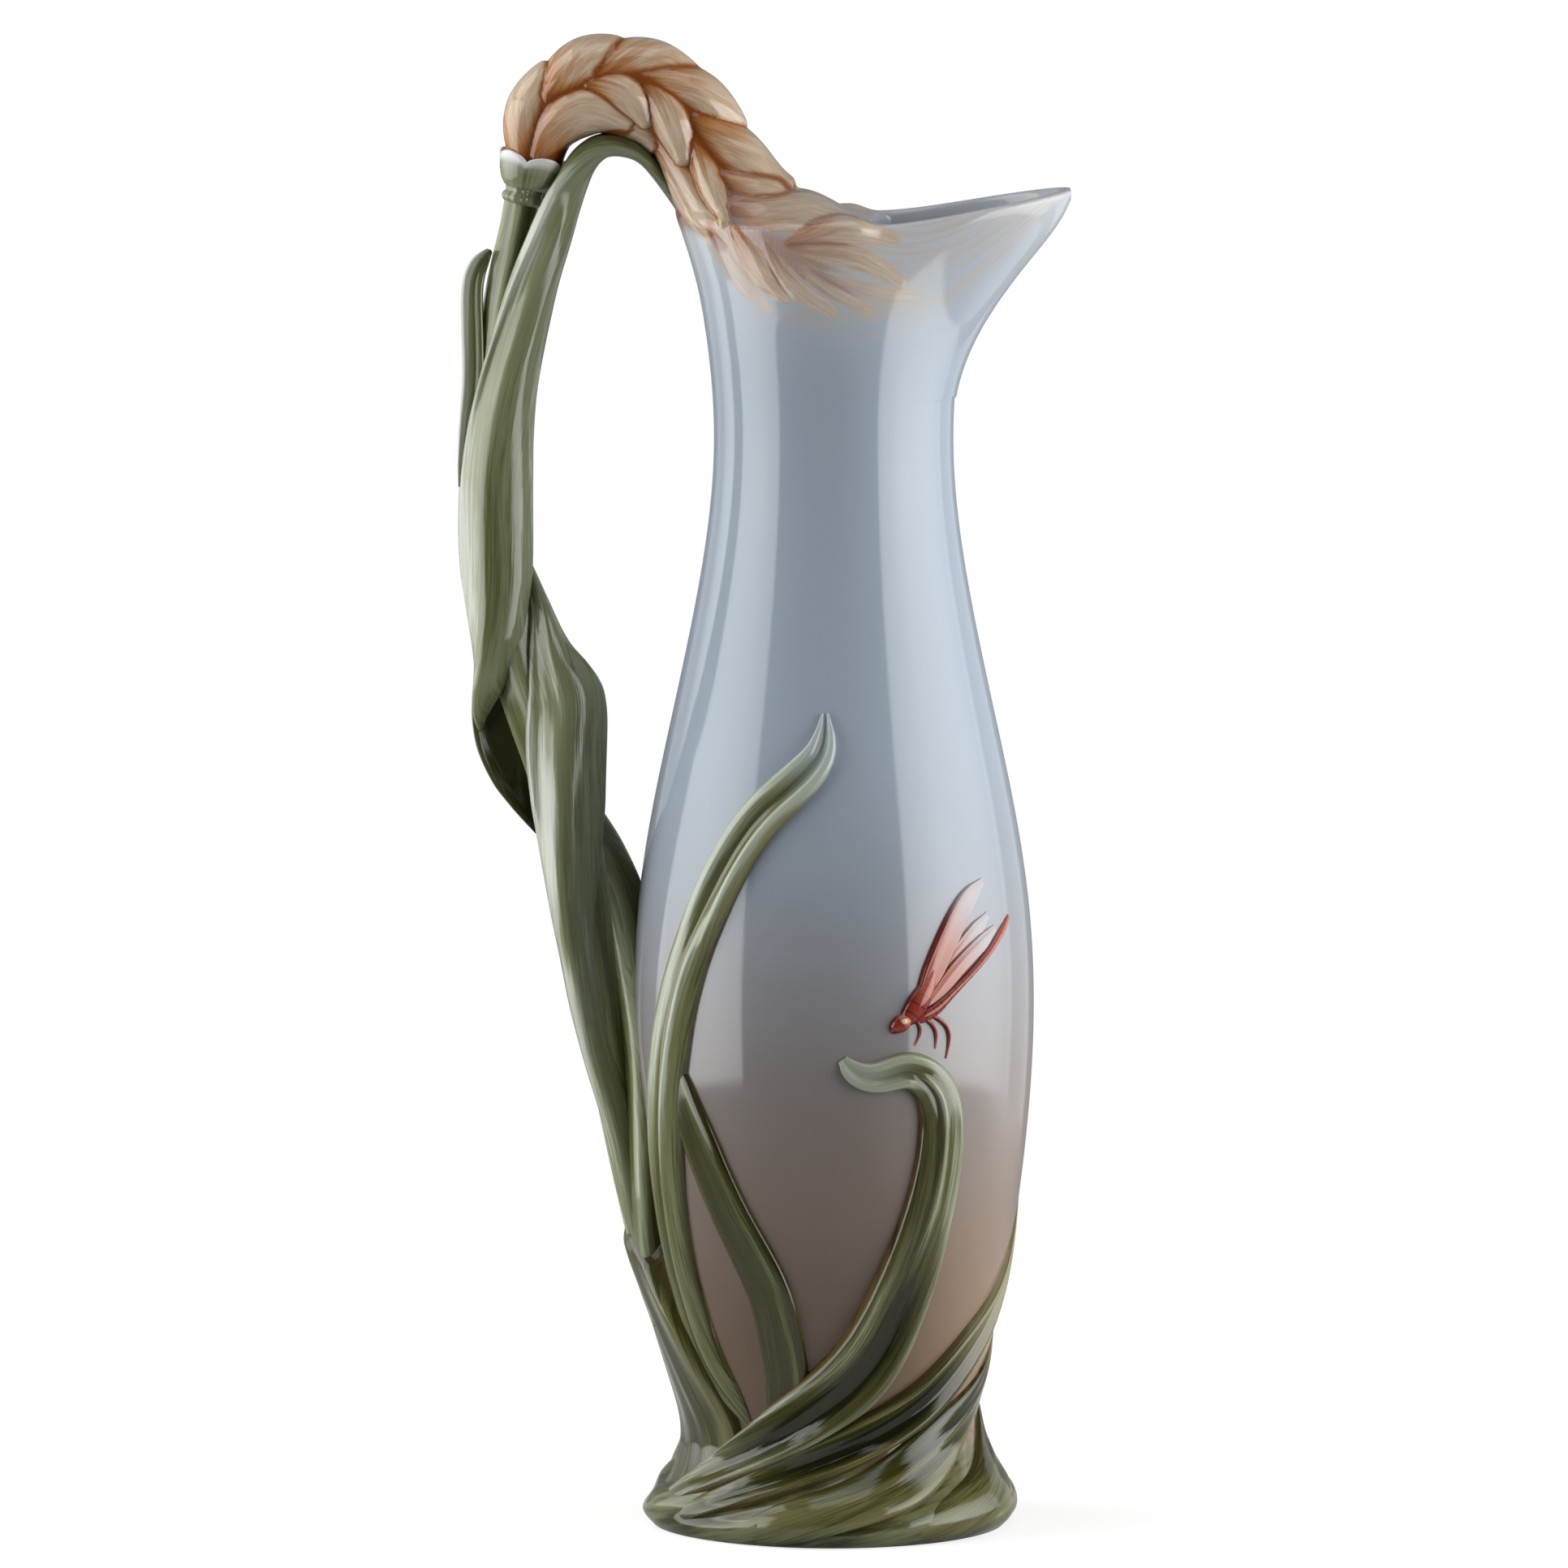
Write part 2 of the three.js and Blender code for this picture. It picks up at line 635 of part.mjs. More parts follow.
// Leaf blades in relief on the vessel. A line gives the bearing, and shares of the top, half width and rise.
const bladeStation = ([a, b, halfWidth, height]) => ({ a, b, halfWidth, height });
const blade = (top, halfWidth, rise, line) =>
  line.map(([bearing, up, wide, high]) => bladeStation([bearing, top * up, halfWidth * wide, rise * high]));
const blades = {
  sheath_leaf: blade(sheathTop, sheathHalfWidth, sheathRise, [
    [-89, 1, 0.29, 1], [-86, 0.86, 0.53, 0.92], [-79, 0.64, 0.76, 0.71],
    [-70, 0.44, 0.94, 0.5], [-64, 0.26, 1, 0.33], [-61, 0.155, 0.88, 0.19],
  ]),
  curled_blade: blade(curledBladeTop, curledBladeHalfWidth, curledBladeRise, [
    [-62, 0.093, 0.38, 0.32], [-34, 0.185, 0.66, 0.6], [-8, 0.272, 0.91, 0.88], [9, 0.358, 1, 1],
    [21, 0.497, 0.94, 1], [28, 0.636, 0.85, 0.92], [32, 0.781, 0.75, 0.84], [31, 0.907, 0.7, 0.8],
    [21, 0.974, 0.51, 0.72], [11, 0.96, 0.38, 0.6], [3, 1, 0.085, 0.2],
  ]),
  tall_blade: blade(tallBladeTop, tallBladeHalfWidth, tallBladeRise, [
    [-36, 0.13, 0.51, 0.55], [-46, 0.2, 0.63, 0.82], [-53, 0.296, 0.74, 0.91], [-57, 0.443, 0.86, 1],
    [-55, 0.585, 1, 1], [-42, 0.747, 1, 0.91], [-22, 0.885, 0.91, 0.77], [-6, 0.949, 0.63, 0.6],
    [-3.5, 1, 0.11, 0.23],
  ]),
  wrapping_blade: blade(wrappingBladeTop, wrappingBladeHalfWidth, wrappingBladeRise, [
    [-50, 0.093, 0.56, 0.44], [-20, 0.206, 0.78, 0.72], [11, 0.325, 0.92, 0.94], [38, 0.454, 1, 1],
    [58, 0.608, 0.97, 0.94], [75, 0.773, 0.64, 0.72], [88, 1, 0.125, 0.28],
  ]),
  cross_blade: blade(crossBladeTop, crossBladeHalfWidth, crossBladeRise, [
    [-47, 1, 0.4, 0.83], [-41, 0.888, 0.73, 1], [-32, 0.739, 0.95, 1], [-21, 0.56, 1, 1],
    [-17, 0.388, 0.97, 1], [-21, 0.276, 0.81, 0.83],
  ]),
  rear_blade: blade(rearBladeTop, rearBladeHalfWidth, rearBladeRise, [
    [96, 0.183, 0.75, 0.7], [120, 0.317, 1, 1], [140, 0.5, 1, 1], [154, 0.71, 0.8, 1],
    [162, 0.894, 0.55, 0.82], [170, 1, 0.11, 0.3],
  ]),
  rear_cross_blade: blade(rearCrossBladeTop, crossBladeHalfWidth, crossBladeRise, [
    [-146, 1, 0.19, 0.5], [-156, 0.82, 0.86, 1], [-166, 0.607, 1, 1], [-171, 0.426, 0.95, 1],
    [-170, 0.328, 0.81, 0.83],
  ]),
};
const footLeafLine = [
  [0, 0, 0.7, 0.57], [0.3, 0.18, 1, 0.93], [0.62, 0.48, 1, 1], [0.86, 0.77, 0.7, 0.71], [1, 1, 0.14, 0.36],
];
const footLeaf = (bearing) =>
  footLeafLine.map(([turn, up, wide, high]) => ({
    a: bearing + footLeafTurn * turn,
    b: lerp(footLeafRoot, footLeafTop, up),
    halfWidth: footLeafHalfWidth * wide,
    height: footLeafRise * high,
  }));

// Dragonfly in relief on the belly. A line gives degrees and shares of its length from the thorax, and shares
// of the half width and rise.
const member = (halfWidth, rise, line) =>
  line.map(([turn, up, wide, high]) =>
    bladeStation([
      dragonflyBearing + turn,
      dragonflyHeight + dragonflyLength * up,
      halfWidth * wide,
      rise * high,
    ]),
  );
const dragonfly = {
  dragonfly_thorax: member(thoraxHalfWidth, thoraxRise, [
    [-3.6, -0.079, 0.56, 0.59], [0, 0, 1, 1], [4.4, 0.07, 0.56, 0.7],
  ]),
  dragonfly_head: member(headHalfWidth, headRise, [
    [-10.2, -0.151, 0.44, 0.47], [-8, -0.126, 1, 1], [-5.6, -0.102, 0.44, 0.53],
  ]),
  dragonfly_abdomen: member(abdomenHalfWidth, abdomenRise, [
    [5, 0.042, 1.2, 1], [18.4, 0.167, 1, 0.92], [35.4, 0.351, 0.47, 0.42],
  ]),
  dragonfly_fore_wing: member(wingHalfWidth, wingRise, [
    [1.9, 0.119, 0.23, 1], [12.4, 0.351, 1, 1], [22.4, 0.553, 0.23, 0.7],
  ]),
  dragonfly_mid_wing: member(wingHalfWidth, wingRise, [
    [7.4, 0.158, 0.23, 1], [17.9, 0.307, 0.68, 1], [25.4, 0.421, 0.18, 0.7],
  ]),
  dragonfly_hind_wing: member(wingHalfWidth, wingRise, [
    [9.4, 0.133, 0.18, 1], [19.4, 0.235, 0.5, 1], [27.4, 0.323, 0.18, 0.7],
  ]),
  dragonfly_leg_1: member(legHalfWidth, legRise, [
    [-5, -0.154, 1, 1], [-3.6, -0.237, 1, 0.9],
  ]),
  dragonfly_leg_2: member(legHalfWidth, legRise, [
    [-1.6, -0.105, 1, 1], [1, -0.175, 1, 1], [1.2, -0.256, 1, 0.9],
  ]),
  dragonfly_leg_3: member(legHalfWidth, legRise, [
    [1.4, -0.063, 1, 1], [5, -0.147, 1, 1], [5.8, -0.284, 1, 0.9],
  ]),
};

// Grains: rows on both faces of the ear, which lean away from the seam towards the rim like a plait
const grainFirst = 0.03; // share of the ear's length at the first grain
const grainLast = 0.78;
const grainSeam = 12; // degrees from the face's middle to a grain's root
const grainLean = 74; // degrees from the face's middle to its tip
const grainRows = [
  { row: "front_outer", face: 0, side: 1, shift: 0, count: outerGrains },
  { row: "front_inner", face: 0, side: -1, shift: 0.5, count: innerGrains },
  { row: "rear_outer", face: 180, side: -1, shift: 0, count: outerGrains },
  { row: "rear_inner", face: 180, side: 1, shift: 0.5, count: innerGrains },
];

function grainStations({ face, side, shift }, number) {
  const start = lerp(grainFirst, grainLast, (number + shift) / outerGrains);
  const span = grainLength / earLength;
  const station = (share, lean, width, height) => ({
    a: face + side * lean,
    b: start + span * share,
    halfWidth: width * grainHalfWidth,
    height: height * grainHeight,
  });
  return [
    station(0, grainSeam, 0.25, 0.3),
    station(0.25, lerp(grainSeam, grainLean, 0.3), 0.85, 0.9),
    station(0.5, lerp(grainSeam, grainLean, 0.6), 1, 1),
    station(0.75, lerp(grainSeam, grainLean, 0.85), 0.75, 0.75),
    station(1, grainLean, 0.2, 0.25),
  ];
}

// Grains on the collar, which carry each face's plait from the ear down to the neck
// A line gives the bearing, the share of the collar's height, and shares of the half width and rise.
const collarGrains = [
  [[-45, 0.88, 0.32, 0.29], [-22, 0.85, 1.07, 0.8], [4, 0.81, 0.96, 0.69], [26, 0.75, 0.21, 0.29]],
  [[-30, 0.72, 0.29, 0.29], [-8, 0.66, 0.82, 0.63], [15, 0.6, 0.75, 0.57], [34, 0.55, 0.21, 0.29]],
  [[-58, 0.9, 0.29, 0.29], [-52, 0.81, 0.79, 0.63], [-44, 0.7, 0.71, 0.57], [-36, 0.6, 0.21, 0.29]],
];
const collarStations = (line, rear) =>
  line.map(([bearing, up, wide, high]) => ({
    a: rear ? 180 - bearing : bearing,
    b: lerp(neckHeight, rimHeight, up),
    halfWidth: grainHalfWidth * wide,
    height: grainHeight * high,
  }));

// Glazes
const glaze = (color, roughness = 0.12) =>
  new THREE.MeshStandardMaterial({ color, roughness, metalness: 0 });
const paleBlue = glaze(0xc3ccd6);
const leafGreen = glaze(0x7d8558);
const paleGreen = glaze(0x9ba585);
const deepGreen = glaze(0x59602f);
const straw = glaze(0xd9b48c);
const paleStraw = glaze(0xdccbb2);
const red = glaze(0xb5503f);
const wingPink = glaze(0xd9b3a6);

const vase = new THREE.Group();

function piece(name, geometry, material) {
  const mesh = new THREE.Mesh(geometry, material);
  mesh.name = name;
  vase.add(mesh);
}

const plug = vesselPlug(luteGap);
const stemCutter = handleStem(luteGap);
const nodeCutters = [calyx(luteGap), stemNode(luteGap)];

piece("vessel_body", vesselBody(), paleBlue);
piece("ear_core", trimmed(earCore(0), [plug]), straw);
piece("calyx", calyx(), paleGreen);
piece("stem_node", stemNode(), paleGreen);
piece("handle_stem", trimmed(handleStem(), [plug]), leafGreen);

const grainCutters = [];
for (const row of grainRows) {
  for (let number = 0; number < row.count; number++) {
    const stations = grainStations(row, number);
    const shape = (grow) => relief(onEar, stations, { grow, edge: 0.5 });
    const grain = trimmed(shape(0), [plug, nodeCutters[0], ...grainCutters]);
    grainCutters.push(shape(luteGap));
    piece(`grain_${row.row}_${number + 1}`, grain, number < outerGrains - 2 ? straw : paleStraw);
  }
}

collarGrains.forEach((line, number) => {
  for (const face of ["front", "rear"]) {
    const stations = collarStations(line, face === "rear");
    const shape = (grow) => relief(onVessel, stations, { grow, edge: 0.5 });
    piece(`grain_${face}_collar_${number + 1}`, trimmed(shape(0), grainCutters), paleStraw);
    grainCutters.push(shape(luteGap));
  }
});

const handleLeaves = [
  ["upper_leaf", upperLeaf, paleGreen, 18],
  ["lower_leaf", lowerLeaf, leafGreen, 16],
  ["leaf_tail", leafTail, deepGreen, 8],
  ["outer_leaf", outerLeaf, paleGreen, 8],
  ["handle_spur", spur, deepGreen, 8],
];
const leafCutters = [];
for (const [name, stations, material, steps] of handleLeaves) {
  const neighbours = [plug, stemCutter, ...nodeCutters, earCore(luteGap), ...grainCutters, ...leafCutters];
  piece(name, trimmed(ribbon(stations, { steps }), neighbours), material);
  leafCutters.push(ribbon(stations, { steps, grow: luteGap }));
}

const bladeMaterials = { sheath_leaf: leafGreen, cross_blade: deepGreen, rear_cross_blade: deepGreen };
const bladeCutters = [stemCutter, ...leafCutters];
for (const [name, stations] of Object.entries(blades)) {
  const sides = name === "sheath_leaf" ? 14 : 8;
  const shape = (grow) => relief(onVessel, stations, { grow, sides, groove: 0.35 });
  piece(name, trimmed(shape(0), bladeCutters), bladeMaterials[name] ?? paleGreen);
  bladeCutters.push(shape(luteGap));
}
for (let k = 0; k < footLeafCount; k++) {
  const stations = footLeaf(footLeafFirst + k * footLeafPitch);
  const shape = (grow) => relief(onVessel, stations, { grow, groove: 0.2 });
  piece(`foot_leaf_${k + 1}`, trimmed(shape(0), bladeCutters), leafGreen);
  bladeCutters.push(shape(luteGap));
}

const dragonflyCutters = [...bladeCutters];
for (const [name, stations] of Object.entries(dragonfly)) {
  const shape = (grow) => relief(onVessel, stations, { grow, sides: 6, edge: 0.4, fineness: 1.7 });
  piece(name, trimmed(shape(0), dragonflyCutters), name.endsWith("wing") ? wingPink : red);
  dragonflyCutters.push(shape(luteGap));
}

const middle = new THREE.Box3().setFromObject(vase).getCenter(new THREE.Vector3());
vase.position.set(-middle.x, -middle.y, 0);

export default vase;
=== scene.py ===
import bpy
import numpy as np
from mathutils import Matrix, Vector


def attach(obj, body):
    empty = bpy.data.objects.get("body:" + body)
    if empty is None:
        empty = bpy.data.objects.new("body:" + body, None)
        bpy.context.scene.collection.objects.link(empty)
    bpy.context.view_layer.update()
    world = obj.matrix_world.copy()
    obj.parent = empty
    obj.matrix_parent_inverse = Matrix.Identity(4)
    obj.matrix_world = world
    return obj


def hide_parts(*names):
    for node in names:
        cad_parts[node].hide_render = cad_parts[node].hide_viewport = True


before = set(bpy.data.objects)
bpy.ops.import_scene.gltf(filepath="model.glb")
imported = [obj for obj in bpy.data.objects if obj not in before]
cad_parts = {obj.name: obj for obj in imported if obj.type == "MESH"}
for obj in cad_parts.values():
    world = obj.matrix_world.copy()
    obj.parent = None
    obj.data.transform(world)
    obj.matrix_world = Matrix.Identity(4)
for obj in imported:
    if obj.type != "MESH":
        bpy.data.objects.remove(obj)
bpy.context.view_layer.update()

# The vase is worked out in millimetres round the vessel's own axis, with the front towards -Y.
AXIS = np.array((22.455, 0.66, 0.0))
NECK = 345.0
RIM = 399.0
WALL = 4.5
METRE = 1000.0


def unit(ways):
    return ways / np.linalg.norm(ways, axis=-1, keepdims=True)


# Camera, and the way from a pixel of the photograph to a place on the vase

PHOTO = 1932
MIDDLE = PHOTO / 2
EYE = np.array((-15.1, -3800.0, 630.0))
AIM = np.array((-15.1, 0.0, 227.155))
FOCAL = 15439.6
# Length on the vase that a pixel shows
PIXEL = 0.25
FRONT = np.array((0.0, -1.0, 0.0))
AHEAD = unit(AIM - EYE)
ASIDE = np.array((1.0, 0.0, 0.0))
ABOVE = np.cross(ASIDE, AHEAD)


def sight(px, py, depth):
    """Points at that depth behind the vase's axis, seen at pixels of the photograph."""
    px, py, depth = np.broadcast_arrays(*(np.asarray(v, float) for v in (px, py, depth)))
    line = AHEAD * FOCAL + (px - MIDDLE)[..., None] * ASIDE - (py - MIDDLE)[..., None] * ABOVE
    return EYE + line * ((depth - EYE[1]) / line[..., 1])[..., None]


def shown(points):
    """Pixels at which points are seen. The far side takes those of the near side."""
    way = points * (1, 0, 1) - np.abs(points) * (0, 1, 0) - EYE
    reach = way @ AHEAD
    return MIDDLE + FOCAL * (way @ ASIDE) / reach, MIDDLE - FOCAL * (way @ ABOVE) / reach


# Smooth lines

class Sweep:
    """A line through points that bends evenly, or its first or second change."""

    def __init__(self, knots, points):
        k = np.asarray(knots, float)
        p = np.asarray(points, float)
        p = p[:, None] if p.ndim == 1 else p
        h = np.diff(k)
        n = len(k)
        pull = np.eye(n)
        push = np.zeros_like(p)
        for i in range(1, n - 1):
            pull[i, i - 1:i + 2] = h[i - 1], 2 * (h[i - 1] + h[i]), h[i]
            push[i] = 6 * ((p[i + 1] - p[i]) / h[i] - (p[i] - p[i - 1]) / h[i - 1])
        m = np.linalg.solve(pull, push)
        h = h[:, None]
        self.k = k
        self.terms = (
            p[:-1],
            (p[1:] - p[:-1]) / h - h * (2 * m[:-1] + m[1:]) / 6,
            m[:-1] / 2,
            (m[1:] - m[:-1]) / (6 * h),
        )

    def __call__(self, at, change=0):
        at = np.asarray(at, float)
        i = np.clip(np.searchsorted(self.k, at, side="right") - 1, 0, len(self.k) - 2)
        t = (at - self.k[i])[..., None]
        a, b, c, d = (term[i] for term in self.terms)
        if change == 0:
            return a + t * (b + t * (c + t * d))
        if change == 1:
            return b + t * (2 * c + 3 * t * d)
        return 2 * c + 6 * t * d


def travel(points):
    """Length of a line up to each of its points."""
    steps = np.linalg.norm(np.diff(np.asarray(points, float), axis=0), axis=1)
    return np.concatenate(((0.0,), np.cumsum(steps)))


def stretch(points):
    """Shares of a line's length at its points."""
    way = travel(points)
    return way / way[-1]


def ease(knots, values, at):
    """Values between knots that never swing beyond them."""
    k = np.asarray(knots, float)
    v = np.asarray(values, float)
    h = np.diff(k)
    d = np.diff(v) / h
    slope = np.concatenate(((d[0],), np.zeros(len(d) - 1), (d[-1],)))
    same = d[:-1] * d[1:] > 0
    slope[1:-1][same] = 2 * d[:-1][same] * d[1:][same] / (d[:-1] + d[1:])[same]
    i = np.clip(np.searchsorted(k, at, side="right") - 1, 0, len(h) - 1)
    t = np.clip((at - k[i]) / h[i], 0, 1)
    rest = 1 - t
    return (
        v[i] * rest * rest * (1 + 2 * t)
        + v[i + 1] * t * t * (1 + 2 * rest)
        + h[i] * t * rest * (slope[i] * rest - slope[i + 1] * t)
    )


def step(low, high, value):
    t = np.clip((value - low) / (high - low), 0, 1)
    return t * t * (3 - 2 * t)


def melt(a, b, width):
    """The smaller of two fields, with a fillet of that width between them."""
    h = np.maximum(width - np.abs(a - b), 0) / width
    return np.minimum(a, b) - h * h * h * width / 6


def trim(a, b, width):
    return -melt(-a, -b, width)


# Meshes

def sheet_faces(rows, columns, closed=False):
    """Quads between neighbouring rows of points."""
    across = np.arange(columns if closed else columns - 1)
    beside = (across + 1) % columns
    down = np.arange(rows - 1)[:, None] * columns
    below = down + columns
    return np.stack((down + across, down + beside, below + beside, below + across), -1).reshape(-1, 4)


def fan(ring, centre):
    return np.stack((ring, np.roll(ring, -1), np.full(len(ring), centre)), -1)


def placed(name, data):
    piece = bpy.data.objects.new(name, data)
    bpy.context.collection.objects.link(piece)
    return piece


def fired(name, points, faces, paint, marks, normals=None, stands_for=None):
    """One piece with its painted marks. It stands for the node of its own name unless others are given."""
    if stands_for is None:
        stands_for = [name]
    points = (np.asarray(points, float).reshape(-1, 3) + AXIS) / METRE
    loops = np.concatenate([f.ravel() for f in faces]).astype(np.int32)
    sizes = np.concatenate([np.full(len(f), f.shape[1]) for f in faces])
    starts = np.concatenate(((0,), np.cumsum(sizes)[:-1]))
    name = f"glazed_{name}"
    mesh = bpy.data.meshes.new(name)
    mesh.vertices.add(len(points))
    mesh.vertices.foreach_set("co", points.astype(np.float32).ravel())
    mesh.loops.add(len(loops))
    mesh.loops.foreach_set("vertex_index", loops)
    mesh.polygons.add(len(sizes))
    mesh.polygons.foreach_set("loop_start", starts.astype(np.int32))
    mesh.polygons.foreach_set("use_smooth", np.ones(len(sizes), bool))
    mesh.update(calc_edges=True)
    for mark, values in marks.items():
        flat = values.ndim == 1
        layer = mesh.attributes.new(mark, "FLOAT" if flat else "FLOAT_VECTOR", "POINT")
        layer.data.foreach_set("value" if flat else "vector", values.astype(np.float32).ravel())
    if normals is not None:
        mesh.normals_split_custom_set_from_vertices(normals)
    mesh.materials.append(paint)
    piece = placed(name, mesh)
    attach(piece, "root")
    if stands_for:
        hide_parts(*stands_for)


def tube(name, rings, ends, paint, crest, brush, tip=0.0, outwards=True, stands_for=None):
    """A closed piece from rings of points and two end points, with its marks over the rings."""
    count, sides = rings.shape[:2]
    last = count * sides
    ring = np.arange(sides)
    faces = [
        sheet_faces(count, sides, closed=True),
        fan(ring, last)[:, ::-1],
        fan(last - sides + ring, last + 1),
    ]
    if not outwards:
        faces = [f[:, ::-1] for f in faces]

    def over(values):
        return np.concatenate((np.broadcast_to(values, (count, sides)).ravel(), np.zeros(2)))

    marks = {
        "crest": over(crest),
        "edge": over(0.0),
        "tip": over(tip),
        "brush": np.stack([over(b) for b in brush], -1),
    }
    points = np.concatenate((rings.reshape(-1, 3), ends))
    fired(name, points, faces, paint, marks, stands_for=stands_for)


def vertex_normals(points, faces):
    """Outward directions at the points of a mesh of quads."""
    total = np.zeros_like(points)
    a, b, c, d = (points[faces[:, k]] for k in range(4))
    turn = np.cross(c - a, d - b)
    for k in range(4):
        np.add.at(total, faces[:, k], turn)
    return total / np.maximum(np.linalg.norm(total, axis=1, keepdims=True), 1e-9)


# Glazes

class Wash:
    """A socket of a glaze. Sums and products of washes add the nodes that work them out."""

    def __init__(self, tree, socket=None):
        self.tree = tree
        self.socket = socket

    def node(self, kind, settings=None, sockets=None, out=0):
        node = self.tree.nodes.new(kind)
        for key, value in (settings or {}).items():
            setattr(node, key, value)
        for key, value in (sockets or {}).items():
            if isinstance(value, Wash):
                self.tree.links.new(value.socket, node.inputs[key])
            else:
                node.inputs[key].default_value = value
        return Wash(self.tree, node.outputs[out] if len(node.outputs) else None)

    def maths(self, operation, *values):
        return self.node("ShaderNodeMath", {"operation": operation}, dict(enumerate(values)))

    def __add__(self, other):
        return self.maths("ADD", self, other)

    def __radd__(self, other):
        return self.maths("ADD", other, self)

    def __sub__(self, other):
        return self.maths("SUBTRACT", self, other)

    def __rsub__(self, other):
        return self.maths("SUBTRACT", other, self)

    def __mul__(self, other):
        return self.maths("MULTIPLY", self, other)

    def __rmul__(self, other):
        return self.maths("MULTIPLY", other, self)

    def __pow__(self, other):
        return self.maths("POWER", self, other)

    def __rpow__(self, other):
        return self.maths("POWER", other, self)

    def between(self, low, high):
        """0 up to low, 1 from high."""
        return self.node(
            "ShaderNodeMapRange",
            {"interpolation_type": "SMOOTHSTEP"},
            {"Value": self, "From Min": low, "From Max": high},
        )

    def over(self, under, paint):
        """Paint laid over another colour where this wash is 1."""
        return self.node(
            "ShaderNodeMix",
            {"data_type": "RGBA", "clamp_factor": True},
            {"Factor": self, 6: under, 7: paint},
            out=2,
        )

    def mark(self, name, vector=False):
        return self.node("ShaderNodeAttribute", {"attribute_name": name}, out=1 if vector else 2)

    def part(self, index):
        return self.node("ShaderNodeSeparateXYZ", {}, {"Vector": self}, out=index)

    def scaled(self, x, y, z):
        return self.node("ShaderNodeVectorMath", {"operation": "MULTIPLY"}, {0: self, 1: (x, y, z)})

    def cloud(self, size, detail=3.0, roughness=0.55):
        """Soft uneven patches from 0 to 1 along this vector."""
        return self.node(
            "ShaderNodeTexNoise",
            {"noise_dimensions": "3D"},
            {"Vector": self, "Scale": size, "Detail": detail, "Roughness": roughness},
        )

    def brushed(self, across, along, detail, roughness=0.55):
        """Uneven streaks along the strokes of the brush."""
        return self.mark("brush", vector=True).scaled(across, along, 1.0).cloud(1.0, detail, roughness)


def ink(red, green, blue):
    """A glaze colour from its 0 to 255 values as seen."""
    seen = np.array((red, green, blue)) / 255
    linear = np.where(seen <= 0.04045, seen / 12.92, ((seen + 0.055) / 1.055) ** 2.4)
    return (*(float(v) for v in linear), 1.0)


def material_of(name, build):
    material = bpy.data.materials.new(name)
    material.use_nodes = True
    material.node_tree.nodes.clear()
    wash = Wash(material.node_tree)
    wash.node("ShaderNodeOutputMaterial", {}, {"Surface": build(wash)})
    return material


def glaze(name, paint, streaked=False):
    """A fired, glossy clear glaze over paint, which is a function of a fresh wash."""
    def surface(wash):
        colour = paint(wash)
        place = wash.node("ShaderNodeTexCoord", out=3)
        film = place.cloud(9.0, 3.0)
        relief = place.cloud(46.0, 2.0) * 0.35
        if streaked:
            relief = relief + wash.brushed(1.2, 0.03, 3.0) * 0.8
        normal = wash.node("ShaderNodeBump", {}, {"Strength": 0.14, "Distance": 0.0006, "Height": relief})
        return wash.node(
            "ShaderNodeBsdfPrincipled",
            {},
            {"Base Color": colour, "Roughness": 0.07 + film * 0.05, "IOR": 1.52, "Normal": normal},
        )
    return material_of(name, surface)


PALE_BLUE = ink(157, 170, 184)


def vessel_paint(wash):
    """Pale blue above, which goes over to warm taupe and peach low on the belly. The taupe on the centre
    and left darkens towards the bottom as painted shade, and the right side is painted paler as a painted
    lit side.
    """
    place = wash.node("ShaderNodeNewGeometry")
    height = place.part(2)
    mottle = place.cloud(14.0, 4.0) - 0.5
    level = height + mottle * 0.03
    belly = level.between(0.25, 0.11)
    # Darker towards the bottom: warm paint, with painted shade on the lower belly
    low = level.between(0.14, 0.05)
    # Paler peach on the right: peach paint with a painted lit side. The darker taupe on the centre and
    # left is painted shade.
    peach_and_lit_side = place.part(0).between(0.03, 0.075)
    taupe = low.over(ink(128, 118, 112), ink(102, 83, 66))
    peach = low.over(ink(156, 147, 142), ink(154, 128, 104))
    body = belly.over(PALE_BLUE, peach_and_lit_side.over(taupe, peach))
    streak = wash.brushed(0.5, 0.05, 3.0) + wash.mark("swirl") * 0.16
    green = streak.between(0.3, 0.75).over(ink(54, 54, 26), ink(122, 122, 86))
    lined = wash.mark("inside").over(body, ink(206, 208, 216))
    return wash.mark("foot").over(lined, green)


# Vessel

# Radius of the body by height, and the share of the rim's outline that its flare has taken on
BODY = Sweep(
    (0, 3, 6.5, 10.8, 15.5, 20, 25, 31, 45, 62, 82, 105, 131, 161, 190, 220, 250, 280, 306, 332, 355, 378,
     399, 420),
    (52.4, 55.1, 55.7, 54, 50.2, 47, 44.6, 43.6, 45.7, 49.6, 53.8, 57.3, 60, 61.2, 59.7, 55.2, 48.9, 42.6,
     38.3, 36.4, 37.6, 40.9, 45, 50),
)
LEVELS = np.linspace(0, 420, 2101)
BODY_TABLE = BODY(LEVELS)[:, 0]
FLARE = Sweep((-0.3, 0, 0.2, 0.34, 0.57, 0.84, 1.0, 1.2), (0, 0, 0.02, 0.09, 0.32, 0.74, 0.985, 1.1))
FLARES = np.linspace(0, 1.2, 601)
FLARE_TABLE = np.maximum(FLARE(FLARES)[:, 0], 0)
FLARE_START = 332.0
RIM_RADIUS = 45.0
MOUTH_RADIUS = 39.5
SPOUT_REACH = 69.0
SPOUT_SHARPNESS = 8
SPOUT_RISE = 9.5
BACK_REACH = 5.5
FLOOR = 9.0
RECESS = 3.0
SWIRLS = 7
SWIRL_PITCH = 0.04
SWIRL_DEPTH = 0.024
BULGE = 2.8
BULGE_BEARING = 272.0
BULGE_WIDTH = 42.0


def spout_share(aside):
    return ((1 + aside) / 2) ** SPOUT_SHARPNESS


def rim_height(aside, r):
    return RIM + SPOUT_RISE * spout_share(aside) * step(12, 36, r)


